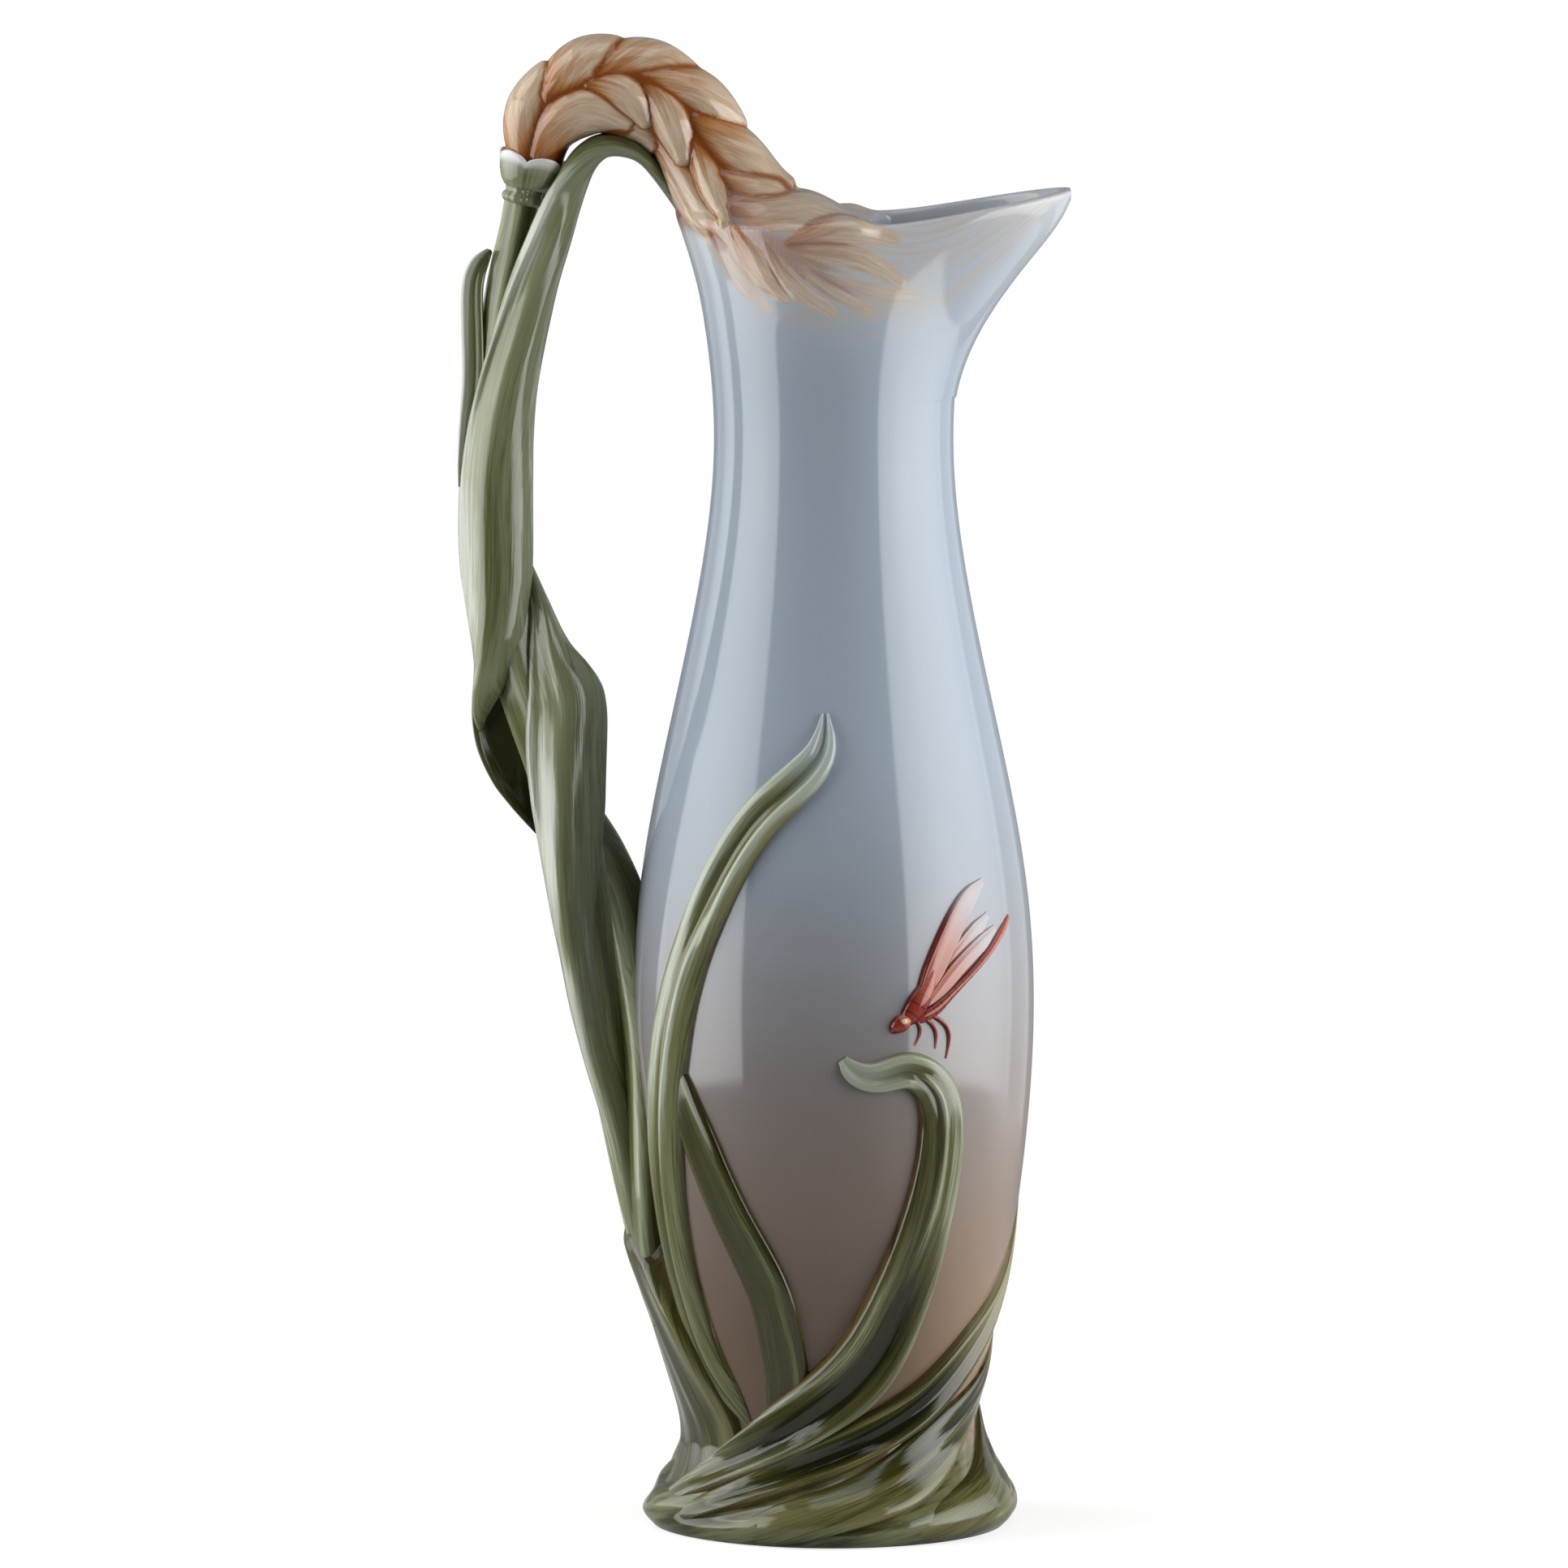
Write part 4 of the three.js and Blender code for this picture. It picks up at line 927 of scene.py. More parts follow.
def handle():
    # Stem, from the ring under the calyx to the sheath, and the branch that rests on the belly
    stem = [
        (-94.2, 0, 409, 5.0), (-96.0, 0, 396, 5.4), (-98.6, 0, 384, 5.7), (-100.9, 0, 367.5, 6.1),
        (-102.3, 0, 347.7, 6.8), (-102.3, 0, 327.9, 7.4), (-101.8, 0, 308, 7.9), (-100.2, 0, 288, 8.2),
        (-96.6, 0, 268, 8.6), (-90.4, 0, 248, 8.6), (-83.8, 0, 229, 8.6), (-79.5, 0, 211, 8.6),
        (-76.2, 0, 193, 8.4), (-72.2, -1, 170, 8), (-67.8, -2, 146, 7.4), (-63.4, -3, 122, 6.8),
        (-59.2, -4, 100, 6.2), (-55, -6, 80, 5.4), (-51, -9, 62, 4),
    ]
    stalk("handle_stem", stem, STEM_GLAZE)
    spots = [
        (716, 985, 8, 2.6), (728, 1015, 7.5, 5), (742, 1055, 6.5, 7), (759, 1105, 4.5, 8),
        (775, 1175, 1, 7.8), (786, 1250, -4, 6.6), (791, 1310, -9, 5.4), (793, 1390, -13, 4.6),
        (795, 1470, -16, 4.2), (800, 1540, -14, 4), (810, 1590, -8, 3), (818, 1620, -2, 1.6),
    ]
    spur = [(*sight(px, py, depth), radius) for px, py, depth, radius in spots]
    stalk("handle_spur", spur, STEM_GLAZE, flutes=3, depth=0.12)
    # Leaf that lines the arch, wraps the stem and turns over at the elbow
    wrap = [
        (857, 303, 0.8, 0, (-0.9, 0, -0.45)), (846, 268, 4, 0, (-0.88, 0, -0.5)),
        (830, 240, 7, 0, (-0.82, 0, -0.58)), (810, 210, 8, 0, (-0.68, 0, -0.75)),
        (790, 188, 9, 0, (-0.4, 0, -0.92)), (768, 179, 9, 0, (0, 0, -1)),
        (741, 179, 9, -0.5, (0.4, 0, -0.92)), (720, 195, 8.6, -1.5, (0.72, -0.2, -0.66)),
        (704, 222, 8.2, -2.5, (0.82, -0.45, -0.3)), (690, 251, 7.8, -3, (0.75, -0.65, 0)),
        (676, 288, 7.6, -3.4, (0.55, -0.83, 0)), (656, 352, 8, -3.5, (0.3, -0.95, 0)),
        (641, 410, 8.3, -3.5, (0.12, -1, 0)), (627, 470, 9, -4, (0, -1, 0)),
        (617, 530, 10.2, -4, (-0.05, -1, 0)), (612, 590, 11.2, -4, (-0.1, -1, 0)),
        (611, 650, 11.5, -4, (-0.1, -1, 0)), (612, 700, 11.2, -4, (-0.15, -1, 0)),
        (613, 750, 9.6, -4.5, (-0.25, -0.95, 0)), (611, 800, 7.4, -4.5, (-0.42, -0.88, 0)),
        (602, 845, 4.6, -3.5, (-0.62, -0.75, 0)), (594, 882, 1.8, -0.5, (-0.8, -0.55, 0)),
        (592, 900, 0.5, 1, (-0.85, -0.5, 0)),
    ]
    strip = (0, 0.1, 0.2, 0.35, 0.4, 0.4, 0.35, 0.2, 0)
    low_lip = (0.4, 1.2, 1, 1.2, 1.4, 1.5, 1.4, 0.8, 0)
    lipped = (1.6, 4.0, 3.4, 4.6, 5.8, 6.4, 6.2, 3.4, 0)
    round_stem = (0.6, 2.4, 3.2, 5.6, 6.8, 7.4, 6.4, 3.4, 0)
    rolled_end = (0, 0.8, 1.8, 3.4, 4.2, 4.6, 4.4, 2.6, -1.5)
    # The tones set a pale lip along the left edge and a darker middle and right: partly the green's
    # streaks, partly painted highlight and painted shade
    rows = [
        (0, 1.0, strip, (0.3,) * 9),
        (0.1, 2.0, strip, (0.3,) * 9),
        (0.17, 3.2, strip, (0.4,) * 9),
        (0.225, 4.2, strip, (0.5,) * 9),
        (0.27, 3.2, low_lip, (0.9, 0.9, 0.7, 0.5, 0.5, 0.5, 0.5, 0.5, 0.5)),
        (0.36, 1.7, lipped, (0.9, 1.0, 0.8, 0.68, 0.62, 0.6, 0.52, 0.5, 0.6)),
        (0.5, 1.7, lipped, (0.9, 1.0, 0.62, 0.55, 0.6, 0.55, 0.42, 0.5, 0.6)),
        (0.64, 1.7, round_stem, (0.85, 0.9, 0.75, 0.62, 0.42, 0.3, 0.36, 0.5, 0.6)),
        (0.76, 1.7, round_stem, (0.9, 0.95, 0.95, 0.85, 0.4, 0.12, 0.3, 0.55, 0.6)),
        (0.86, 1.7, round_stem, (0.9, 0.9, 0.9, 0.8, 0.35, 0.2, 0.32, 0.5, 0.5)),
        (0.93, 1.8, rolled_end, (0.5, 0.6, 0.75, 0.95, 0.85, 0.6, 0.4, 0.3, 0.1)),
        (1, 1.2, strip, (0.4, 0.5, 0.6, 0.6, 0.5, 0.4, 0.3, 0.2, 0.1)),
    ]
    leaf("upper_leaf", wrap, rows, HANDLE_GLAZE, steps=260)
    tail = [
        (604, 818, 0.8, 3.4, (-0.6, -0.8, 0)), (603, 834, 3.2, 3, (-0.6, -0.8, 0)),
        (602, 858, 4.4, 2, (-0.55, -0.83, 0)), (604, 886, 5.2, 1.5, (-0.4, -0.9, 0)),
        (612, 918, 5.8, 1.5, (-0.25, -0.97, 0)), (626, 953, 5.3, 1.5, (-0.15, -1, 0)),
        (641, 985, 3.6, 1.5, FRONT), (653, 1008, 2, 1, FRONT), (662, 1026, 0.5, 0.5, FRONT),
    ]
    cupped = (1.6, 2.2, 1.8, 0, -1, -1.6, -2.4, -3, -3)
    # Dark tones across the inside of the fold: partly the underside's green, partly painted shade
    dark = (0.9, 0.7, 0.5, 0.3, 0.15, 0.05, 0, 0, 0)
    rows = [(0, 1.4, cupped, dark), (1, 1.2, cupped, dark)]
    leaf("leaf_tail", tail, rows, SHADE_GLAZE)
    # Leaf that stands off the elbow and runs down to the sheath
    low = [
        (650, 690, 0.8, -2, (0.3, -0.95, 0)), (655, 712, 2, -2.5, (0.3, -0.95, 0)),
        (665, 745, 3.2, -3.5, (0.3, -0.95, 0)), (677, 798, 6.6, -5, (0.25, -0.95, 0)),
        (688, 832, 10, -5.5, (0.2, -1, 0)), (697, 863, 12.2, -6, (0.15, -1, 0)),
        (698, 905, 12.5, -6, (0.1, -1, 0)), (700, 985, 11.5, -6, (0.1, -1, 0)),
        (703, 1043, 9.7, -6, (0.05, -1, 0)), (707, 1119, 7.3, -6, FRONT),
        (715, 1180, 6.2, -6, (-0.05, -1, 0)), (724, 1234, 5.8, -6.5, (-0.1, -1, 0)),
        (736, 1290, 5.2, -7, (-0.15, -1, 0)), (762, 1380, 5, -8, (-0.2, -1, 0)),
        (779, 1470, 4, -9, (-0.2, -1, 0)), (789, 1530, 2, -10, (-0.2, -1, 0)),
        (793, 1552, 0.6, -10, (-0.2, -1, 0)),
    ]
    # The tones set a pale ridge and lip near the left edge and darker facets to the right: partly the
    # green's streaks, partly painted highlight and painted shade
    rows = [
        (0, 1.2, (0, 0.6, 0.8, 1, 1.1, 1.2, 1, 0.5, 0), (0.4,) * 9),
        (0.1, 1.6, (0, 1.6, 1.4, 2.4, 3.2, 4, 3.6, 1.6, 0),
         (1.0, 1.0, 0.55, 0.5, 0.5, 0.45, 0.42, 0.5, 0.5)),
        (0.2, 1.7, (0, 2.2, 1.8, 3.4, 4.6, 5.8, 5.2, 2.2, 0),
         (1.0, 1.0, 0.5, 0.55, 0.6, 0.55, 0.3, 0.35, 0.5)),
        (0.34, 1.7, (0.3, 2.2, 2.4, 5, 6.2, 6.2, 4.8, 1.8, 0),
         (0.9, 0.95, 1.0, 0.95, 0.7, 0.4, 0.34, 0.42, 0.5)),
        (0.42, 1.7, (0.3, 1.8, 3.4, 6, 6.1, 5.6, 4.2, 1.5, 0),
         (0.9, 0.95, 1.0, 0.8, 0.45, 0.42, 0.46, 0.5, 0.55)),
        (0.52, 1.7, (0, 1.6, 3.8, 5.4, 5.4, 5, 3.8, 1.4, 0),
         (0.7, 0.8, 0.75, 0.5, 0.5, 0.6, 0.62, 0.5, 0.5)),
        (0.62, 1.7, (0, 1.4, 3.2, 4.8, 5, 4.8, 3.8, 1.4, 0),
         (0.6, 0.7, 0.95, 0.9, 0.75, 0.7, 0.62, 0.5, 0.45)),
        (0.76, 1.6, (0, 1.2, 2.6, 4, 4.4, 4.4, 3.6, 1.4, 0),
         (0.5, 0.6, 0.75, 0.8, 0.75, 0.65, 0.5, 0.4, 0.35)),
        (1, 1.2, (0, 0.4, 0.6, 0.8, 0.9, 0.9, 0.8, 0.4, 0), (0.3,) * 9),
    ]
    leaf("lower_leaf", low, rows, HANDLE_GLAZE, steps=240)
    # Narrow leaf with a rolled lip on the outer side of the stem
    outer = [
        (604, 309, 0.8, -2, (-0.4, -0.9, 0)), (592, 325, 2.6, -2, (-0.5, -0.85, 0)),
        (585, 345, 3.3, -2, (-0.6, -0.8, 0)), (583, 375, 3.5, -2, (-0.6, -0.8, 0)),
        (584, 420, 3.6, -2.5, (-0.6, -0.8, 0)), (584, 470, 3.4, -3, (-0.6, -0.8, 0)),
        (579, 520, 2.8, -4, (-0.6, -0.8, 0)), (575, 560, 1.9, -4, (-0.6, -0.8, 0)),
        (571, 600, 0.6, -4, (-0.6, -0.8, 0)),
    ]
    # Pale tones on the rolled lip and dark ones beside it: painted highlight and painted shade
    rolled = (0.4, 1.0, 1.7, 1.4, 0.6, 0, -0.8, -0.8, -0.3)
    lip = (0.9, 1.0, 1.1, 1.1, 1.0, 0.6, 0.05, 0.1, 0.3)
    rows = [(0, 1.3, rolled, lip), (1, 1.2, rolled, lip)]
    leaf("outer_leaf", outer, rows, HANDLE_GLAZE)


def calyx():
    """Scalloped cup that holds the ear, and the beaded ring under it. A point of their profiles is a
    distance along the ear, a radius, the depth of the notches and the swell of the lobes."""
    lobes = 5
    beads = 14
    start = np.array((EAR[0, 0], 0.0, EAR[0, 1]))
    x, z = unit(EAR_LINE(0.0, 1))
    way = np.array((x, 0.0, z))
    across = np.array((z, 0.0, -x))
    turn = np.linspace(0, 2 * np.pi, 120, endpoint=False)
    lobe = np.abs(np.cos(lobes / 2 * turn - 1.18)) ** 0.7
    cup = [
        (-9, 4.6, 0, 0), (-8.8, 5.9, 0, 0), (-8, 7.1, 0, 0.01), (-6.2, 8.4, 0, 0.02),
        (-3.8, 9.3, 0.2, 0.03), (-1.4, 9.8, 0.9, 0.04), (0.6, 10.1, 1.9, 0.04), (1.6, 10.4, 2.3, 0.04),
        (2.3, 10.4, 2.4, 0.04), (2.4, 9.8, 2.4, 0.04), (1.4, 9.2, 2.0, 0.03), (-1, 8.4, 1, 0.02),
        (-4, 7.4, 0, 0),
    ]
    ring = [
        (-13.4, 4.6, 0, 0), (-13.2, 5.6, 0, 0), (-12.6, 6.4, 0, 0), (-11.8, 6.8, 0, 0), (-11, 6.8, 0, 0),
        (-10.2, 6.2, 0, 0), (-9.6, 5.9, 0, 0), (-9, 6.3, 0, 0), (-8.4, 6.2, 0, 0), (-8, 5, 0, 0),
    ]
    around = across * np.sin(turn)[:, None] + FRONT * np.cos(turn)[:, None]
    for name, node, profile, bead, lip in (
        ("calyx", "calyx", cup, 0.0, 1.0),
        ("stem_ring", "stem_node", ring, 0.03, 0.0),
    ):
        away, radius, notch, swell = (np.array(v, float)[:, None] for v in zip(*profile))
        along = (away + notch * (lobe - 1))[..., None]
        out = (radius * (1 + swell * (lobe - 0.6)))[..., None]
        rings = start + way * along + around * out
        middle = rings.mean(1, keepdims=True)
        rings = middle + (rings - middle) * (1 + bead * np.cos(beads * turn))[:, None]
        level = np.linspace(0, 1, len(profile))[:, None]
        crest = 0.35 + 0.3 * level + 0.25 * (lobe - 0.6)
        brush = turn * 6, level * 12, 0.0
        tip = lip * step(-2.2, 1.2, away)
        ends = rings[[0, -1]].mean(1)
        tube(name, rings, ends, CALYX_GLAZE, crest, brush, tip, stands_for=[node])


handle()
calyx()


# Blades, sheath and foot leaves in relief on the vessel

TIP = (0.86, 1.0)
NO_TIP = (1.2, 1.4)


def blade(name, line, rows, paint, steps=170, sides=45, sink=0.7, tip=TIP):
    """A leaf on the vessel. A station is a bearing, a height, a half width and a rise. A row is a share of
    the leaf's length, and a profile across it there."""
    line = np.array(line, float)
    knots = stretch(on_vessel(line[:, 0], line[:, 1]))
    at = np.linspace(0, 1, steps)
    path = Sweep(knots, line[:, :2])
    bearing, z = path(at).T
    turn, climb = path(at, 1).T
    slope = BODY(z, 1)[:, 0]
    square = np.sqrt(1 + slope * slope)
    radius = BODY(z)[:, 0]
    go = unit(np.stack((np.radians(turn) * radius, climb * square), -1))
    half = ease(knots, line[:, 2], at)
    rise = ease(knots, line[:, 3], at)
    u = np.sin(np.linspace(-1, 1, sides) * np.pi / 2)
    shares, shapes = zip(*rows)
    lifts, tones = zip(*shapes)
    lift = table(shares, lifts, at, u, FOLDS)
    aside = half[:, None] * u
    b = bearing[:, None] + np.degrees(go[:, 1:] * aside / radius[:, None])
    h = z[:, None] - go[:, :1] * aside / square[:, None]
    out = rise[:, None] * lift - sink * step(0.9, 1.0, np.abs(u)) - sink * 0.2
    points = on_vessel(b, np.maximum(h, 0.4), out)
    over = np.ones_like(lift)
    length = travel(points[:, sides // 2])[:, None]
    marks = {
        "crest": table(shares, tones, at, u, FOLDS).ravel(),
        "edge": (over * step(0.88, 0.97, np.abs(u))).ravel(),
        "tip": (over * step(*tip, at)[:, None]).ravel(),
        "brush": np.stack((aside, over * length, 0 * over), -1).reshape(-1, 3),
    }
    fired(name, points, [sheet_faces(steps, sides)], paint, marks)


# Profiles across a blade, from its left edge to its right: shares of its rise, and tones
# In the leaves' profiles the tones are partly painted light: highlights on ridges, and shade on facets and
# in valleys that turn from the light
FOLDS = (-1, -0.9, -0.75, -0.5, -0.25, -0.05, 0.2, 0.5, 0.75, 0.9, 1)
FOLDED = (
    (0, 0.55, 0.72, 0.84, 0.8, 0.7, 1.0, 0.74, 0.5, 0.32, 0),
    (0.5, 0.65, 0.82, 0.88, 0.8, 0.3, 1.0, 0.5, 0.35, 0.2, 0),
)
ROOTED = (FOLDED[0], (0.1, 0.2, 0.3, 0.3, 0.2, 0, 0.6, 0.4, 0.3, 0.1, 0))
CHANNEL = (
    (0, 0.62, 0.9, 1.0, 0.78, 0.4, 0.48, 1.0, 0.92, 0.62, 0),
    (0.6, 0.8, 1.0, 0.95, 0.65, 0.3, 0.4, 1.0, 0.9, 0.65, 0.5),
)
SPOON = (
    (0, 0.7, 0.95, 0.9, 0.4, 0.25, 0.35, 0.95, 1.0, 0.7, 0),
    (0.8, 0.9, 1.0, 0.9, 0.5, 0.4, 0.5, 1.0, 1.0, 0.9, 0.8),
)
FLAT = (
    (0, 0.66, 0.82, 0.86, 0.87, 0.9, 0.95, 1.0, 0.88, 0.66, 0),
    (0.35, 0.45, 0.5, 0.5, 0.48, 0.5, 0.55, 0.85, 0.42, 0.35, 0.2),
)
VALLEY = (
    (0, 0.8, 1.0, 0.66, 0.4, 0.2, 0.2, 0.55, 0.85, 0.8, 0),
    (0.3, 0.55, 0.75, 0.5, 0.2, 0, 0, 0.3, 0.65, 0.7, 0.4),
)
RIDGED = (
    (0, 0.5, 0.7, 0.78, 0.74, 1.0, 0.84, 0.8, 0.76, 0.55, 0),
    (0.2, 0.3, 0.4, 0.3, 0.25, 1.0, 0.6, 0.8, 1.0, 0.9, 0.6),
)
TONGUE = (
    (0, 0.7, 0.95, 0.95, 0.7, 0.5, 0.55, 0.75, 0.8, 0.6, 0),
    (0.4, 0.6, 1.0, 0.9, 0.4, 0.3, 0.6, 0.95, 1.05, 1.0, 0.9),
)
WING = (
    (0, 0.85, 1.0, 0.8, 0.6, 0.5, 0.5, 0.55, 0.6, 0.5, 0),
    (1, 1, 0.9, 0.45, 0.15, 0.05, 0.05, 0.1, 0.15, 0.3, 0.5),
)
VEIL = (
    WING[0],
    (0.7, 0.6, 0.3, 0.1, 0.05, 0, 0, 0, 0.05, 0.1, 0.3),
)
CROWN = (
    (0, 0.42, 0.66, 0.88, 0.98, 1.0, 0.98, 0.86, 0.62, 0.4, 0),
    (0, 0.2, 0.4, 0.6, 0.7, 0.7, 0.6, 0.45, 0.25, 0.1, 0),
)
FLUTED = (
    (0, 0.62, 0.92, 0.84, 0.9, 0.76, 0.8, 0.72, 0.8, 0.52, 0),
    (0.3, 0.7, 0.95, 0.5, 0.6, 0.3, 0.5, 0.3, 0.6, 0.4, 0.2),
)
SWEPT = (
    (0, 0.5, 0.74, 0.9, 0.97, 1.0, 0.92, 0.84, 0.74, 0.5, 0),
    (0.2, 0.35, 0.5, 0.4, 0.3, 0.75, 0.5, 0.6, 0.85, 0.65, 0.3),
)


def blades():
    tall = [
        (-35, 34, 1.2, 0.2), (-39, 39.5, 2.8, 1.8), (-44, 45.5, 4.6, 3), (-50, 54, 6, 3.8),
        (-56.6, 73.4, 7.4, 4), (-59.4, 98.3, 8.6, 4.2), (-58.4, 123.1, 9.4, 4.4),
        (-54.2, 148.3, 9.2, 4.4), (-48.8, 168.6, 8.2, 4.4), (-41.6, 188.9, 7.4, 4.2), (-32.6, 209, 7, 4),
        (-22.2, 224, 6.8, 3.8), (-11.4, 233.9, 6.4, 3.5), (-4.6, 242.4, 4.8, 2.8), (-3.2, 253.5, 1.2, 1),
    ]
    rows = [
        (0, ROOTED), (0.3, ROOTED), (0.48, FOLDED), (0.62, FOLDED), (0.75, CHANNEL), (0.87, CHANNEL),
        (1, SPOON),
    ]
    blade("tall_blade", tall, rows, TALL_GLAZE, steps=220)
    cross = [
        (-19, 33, 6.2, 0.3), (-18.6, 42, 6.8, 1.2), (-17.6, 51.5, 7.2, 2.2), (-18.4, 61, 7.4, 2.4),
        (-21.2, 76, 7.5, 2.4), (-32.8, 100.5, 7.2, 2.4), (-41.5, 119.8, 7.2, 2.4), (-48, 135, 6.2, 2.2),
        (-53.5, 147, 4, 1.2),
    ]
    flat = [(0, FLAT), (1, FLAT)]
    blade("cross_blade", cross, flat, FOOT_GLAZE, tip=NO_TIP)
    curl = [
        (-72, 9, 3.4, 1.2), (-52, 18, 6, 4), (-34, 27, 7.8, 4.8), (-9, 40.5, 9.8, 4.8),
        (8.5, 53.3, 10.8, 5), (21, 75, 10, 5), (28, 95.8, 9, 4.8), (31.4, 112, 8.3, 4.6),
        (32.4, 128, 7.7, 4.4), (29.4, 140.5, 7, 4.2), (21, 146.4, 5.8, 3.8), (11.5, 144.6, 4.8, 3.2),
        (5, 147, 3.4, 2.4), (2.4, 150.4, 1.6, 0.8),
    ]
    rows = [
        (0, CROWN), (0.28, VALLEY), (0.48, VALLEY), (0.68, RIDGED), (0.84, RIDGED), (0.9, TONGUE),
        (1, TONGUE),
    ]
    blade("curled_blade", curl, rows, BLADE_GLAZE, steps=220)
    wrap = [
        (-66, 4.5, 2.4, 0), (-21, 20, 6, 2.8), (10.7, 31.4, 7, 3.4), (38, 44.1, 7.4, 3.6),
        (57.4, 58.9, 7, 3.4), (74.4, 74.5, 4.6, 2.4), (83, 88, 2, 1.2), (88, 100, 0.3, 0.2),
    ]
    rows = [(0, CROWN), (0.4, VALLEY), (0.8, VALLEY), (1, SPOON)]
    blade("wrapping_blade", wrap, rows, FOOT_GLAZE, tip=(0.56, 0.84))
    rear = [
        (92, 30, 4, 0.3), (101, 44, 6.6, 2.6), (120, 66, 8, 3.4), (140, 104, 8, 3.4),
        (154, 148, 6.4, 3.4), (162, 186, 4.4, 2.8), (170, 208, 0.8, 1),
    ]
    blade("rear_blade", rear, [(0, FOLDED), (0.4, CHANNEL), (1, SPOON)], BLADE_GLAZE)
    rear_cross = [
        (-171, 36, 5, 0.1), (-171.5, 44, 6.2, 1.2), (-171, 54, 7, 2.4), (-166, 74, 7.4, 2.4),
        (-156, 100, 6.4, 2.4), (-146, 122, 0.8, 0.8),
    ]
    blade("rear_cross_blade", rear_cross, flat, FOOT_GLAZE, tip=NO_TIP)
    sheath = [
        (-90, 92, 0.8, 8.6), (-86.5, 87, 9.5, 10), (-82, 75, 15.5, 9), (-76, 57, 18.5, 7),
        (-69, 39, 20, 5), (-63, 24, 20, 2.8), (-61, 14, 19, 0.8), (-60, 8, 18, 0),
    ]
    rows = [(0, CROWN), (0.35, FLUTED), (1, FLUTED)]
    blade("sheath_leaf", sheath, rows, FOOT_GLAZE, sides=69, tip=NO_TIP)
    # Five leaves wind up round the foot. Their stations are shares of the turn and of the climb.
    first_bearing = -14
    spacing = 58
    low = 8
    climb = 48
    winding = [
        (-0.16, -0.1, 4, 0.0), (0.0, 0.0, 7, 1.8), (0.3, 0.18, 9.6, 3.2), (0.62, 0.48, 8.6, 3.2),
        (0.86, 0.77, 5, 2.2), (1.0, 1.0, 0.8, 0.8),
    ]
    rows = [(0, CROWN), (0.5, SWEPT), (1, RIDGED)]
    for k, reach in enumerate((105, 105, 105, 105, 76)):
        first = first_bearing + spacing * k
        line = [(first + reach * turn, low + climb * up, wide, high) for turn, up, wide, high in winding]
        blade(f"foot_leaf_{k + 1}", line, rows, FOOT_GLAZE)


blades()


# Dragonfly in relief on the belly

def seen_on_vessel(px, py):
    """Bearing and height of the place on the vessel that is seen at a pixel of the photograph."""
    depth = np.full(np.shape(px), -55.0)
    for _ in range(12):
        spot = sight(px, py, depth)
        radius = BODY(spot[..., 2])[..., 0]
        depth = -np.sqrt(np.maximum(radius ** 2 - spot[..., 0] ** 2, 1.0))
    return np.degrees(np.arctan2(spot[..., 0], -spot[..., 1])), spot[..., 2]


def red_paint(wash):
    fine = wash.brushed(1.6, 0.5, 3.0)
    rings = wash.maths("SINE", wash.mark("brush", vector=True).part(1) * 1.9).between(0.75, 1.0)
    tone = wash.mark("crest") + (fine - 0.5) * 0.7 - rings * 0.35
    colour = tone.between(0.0, 0.9).over(ink(88, 20, 13), ink(160, 58, 43))
    return (wash.mark("tip") * 0.55).over(colour, ink(206, 130, 112))


def wing_paint(wash):
    vein = wash.brushed(1.3, 0.04, 3.0).between(0.52, 0.66)
    far = wash.mark("tip")
    pale = far.over(ink(180, 116, 98), ink(180, 176, 180))
    colour = (vein * (1 - far) * 0.5).over(pale, ink(160, 80, 60))
    return (wash.mark("crest") * (1.15 - far)).between(0.05, 0.85).over(colour, ink(122, 42, 26))


def eye_paint(wash):
    return wash.mark("crest").between(0.5, 0.9).over(ink(150, 70, 50), ink(236, 206, 160))


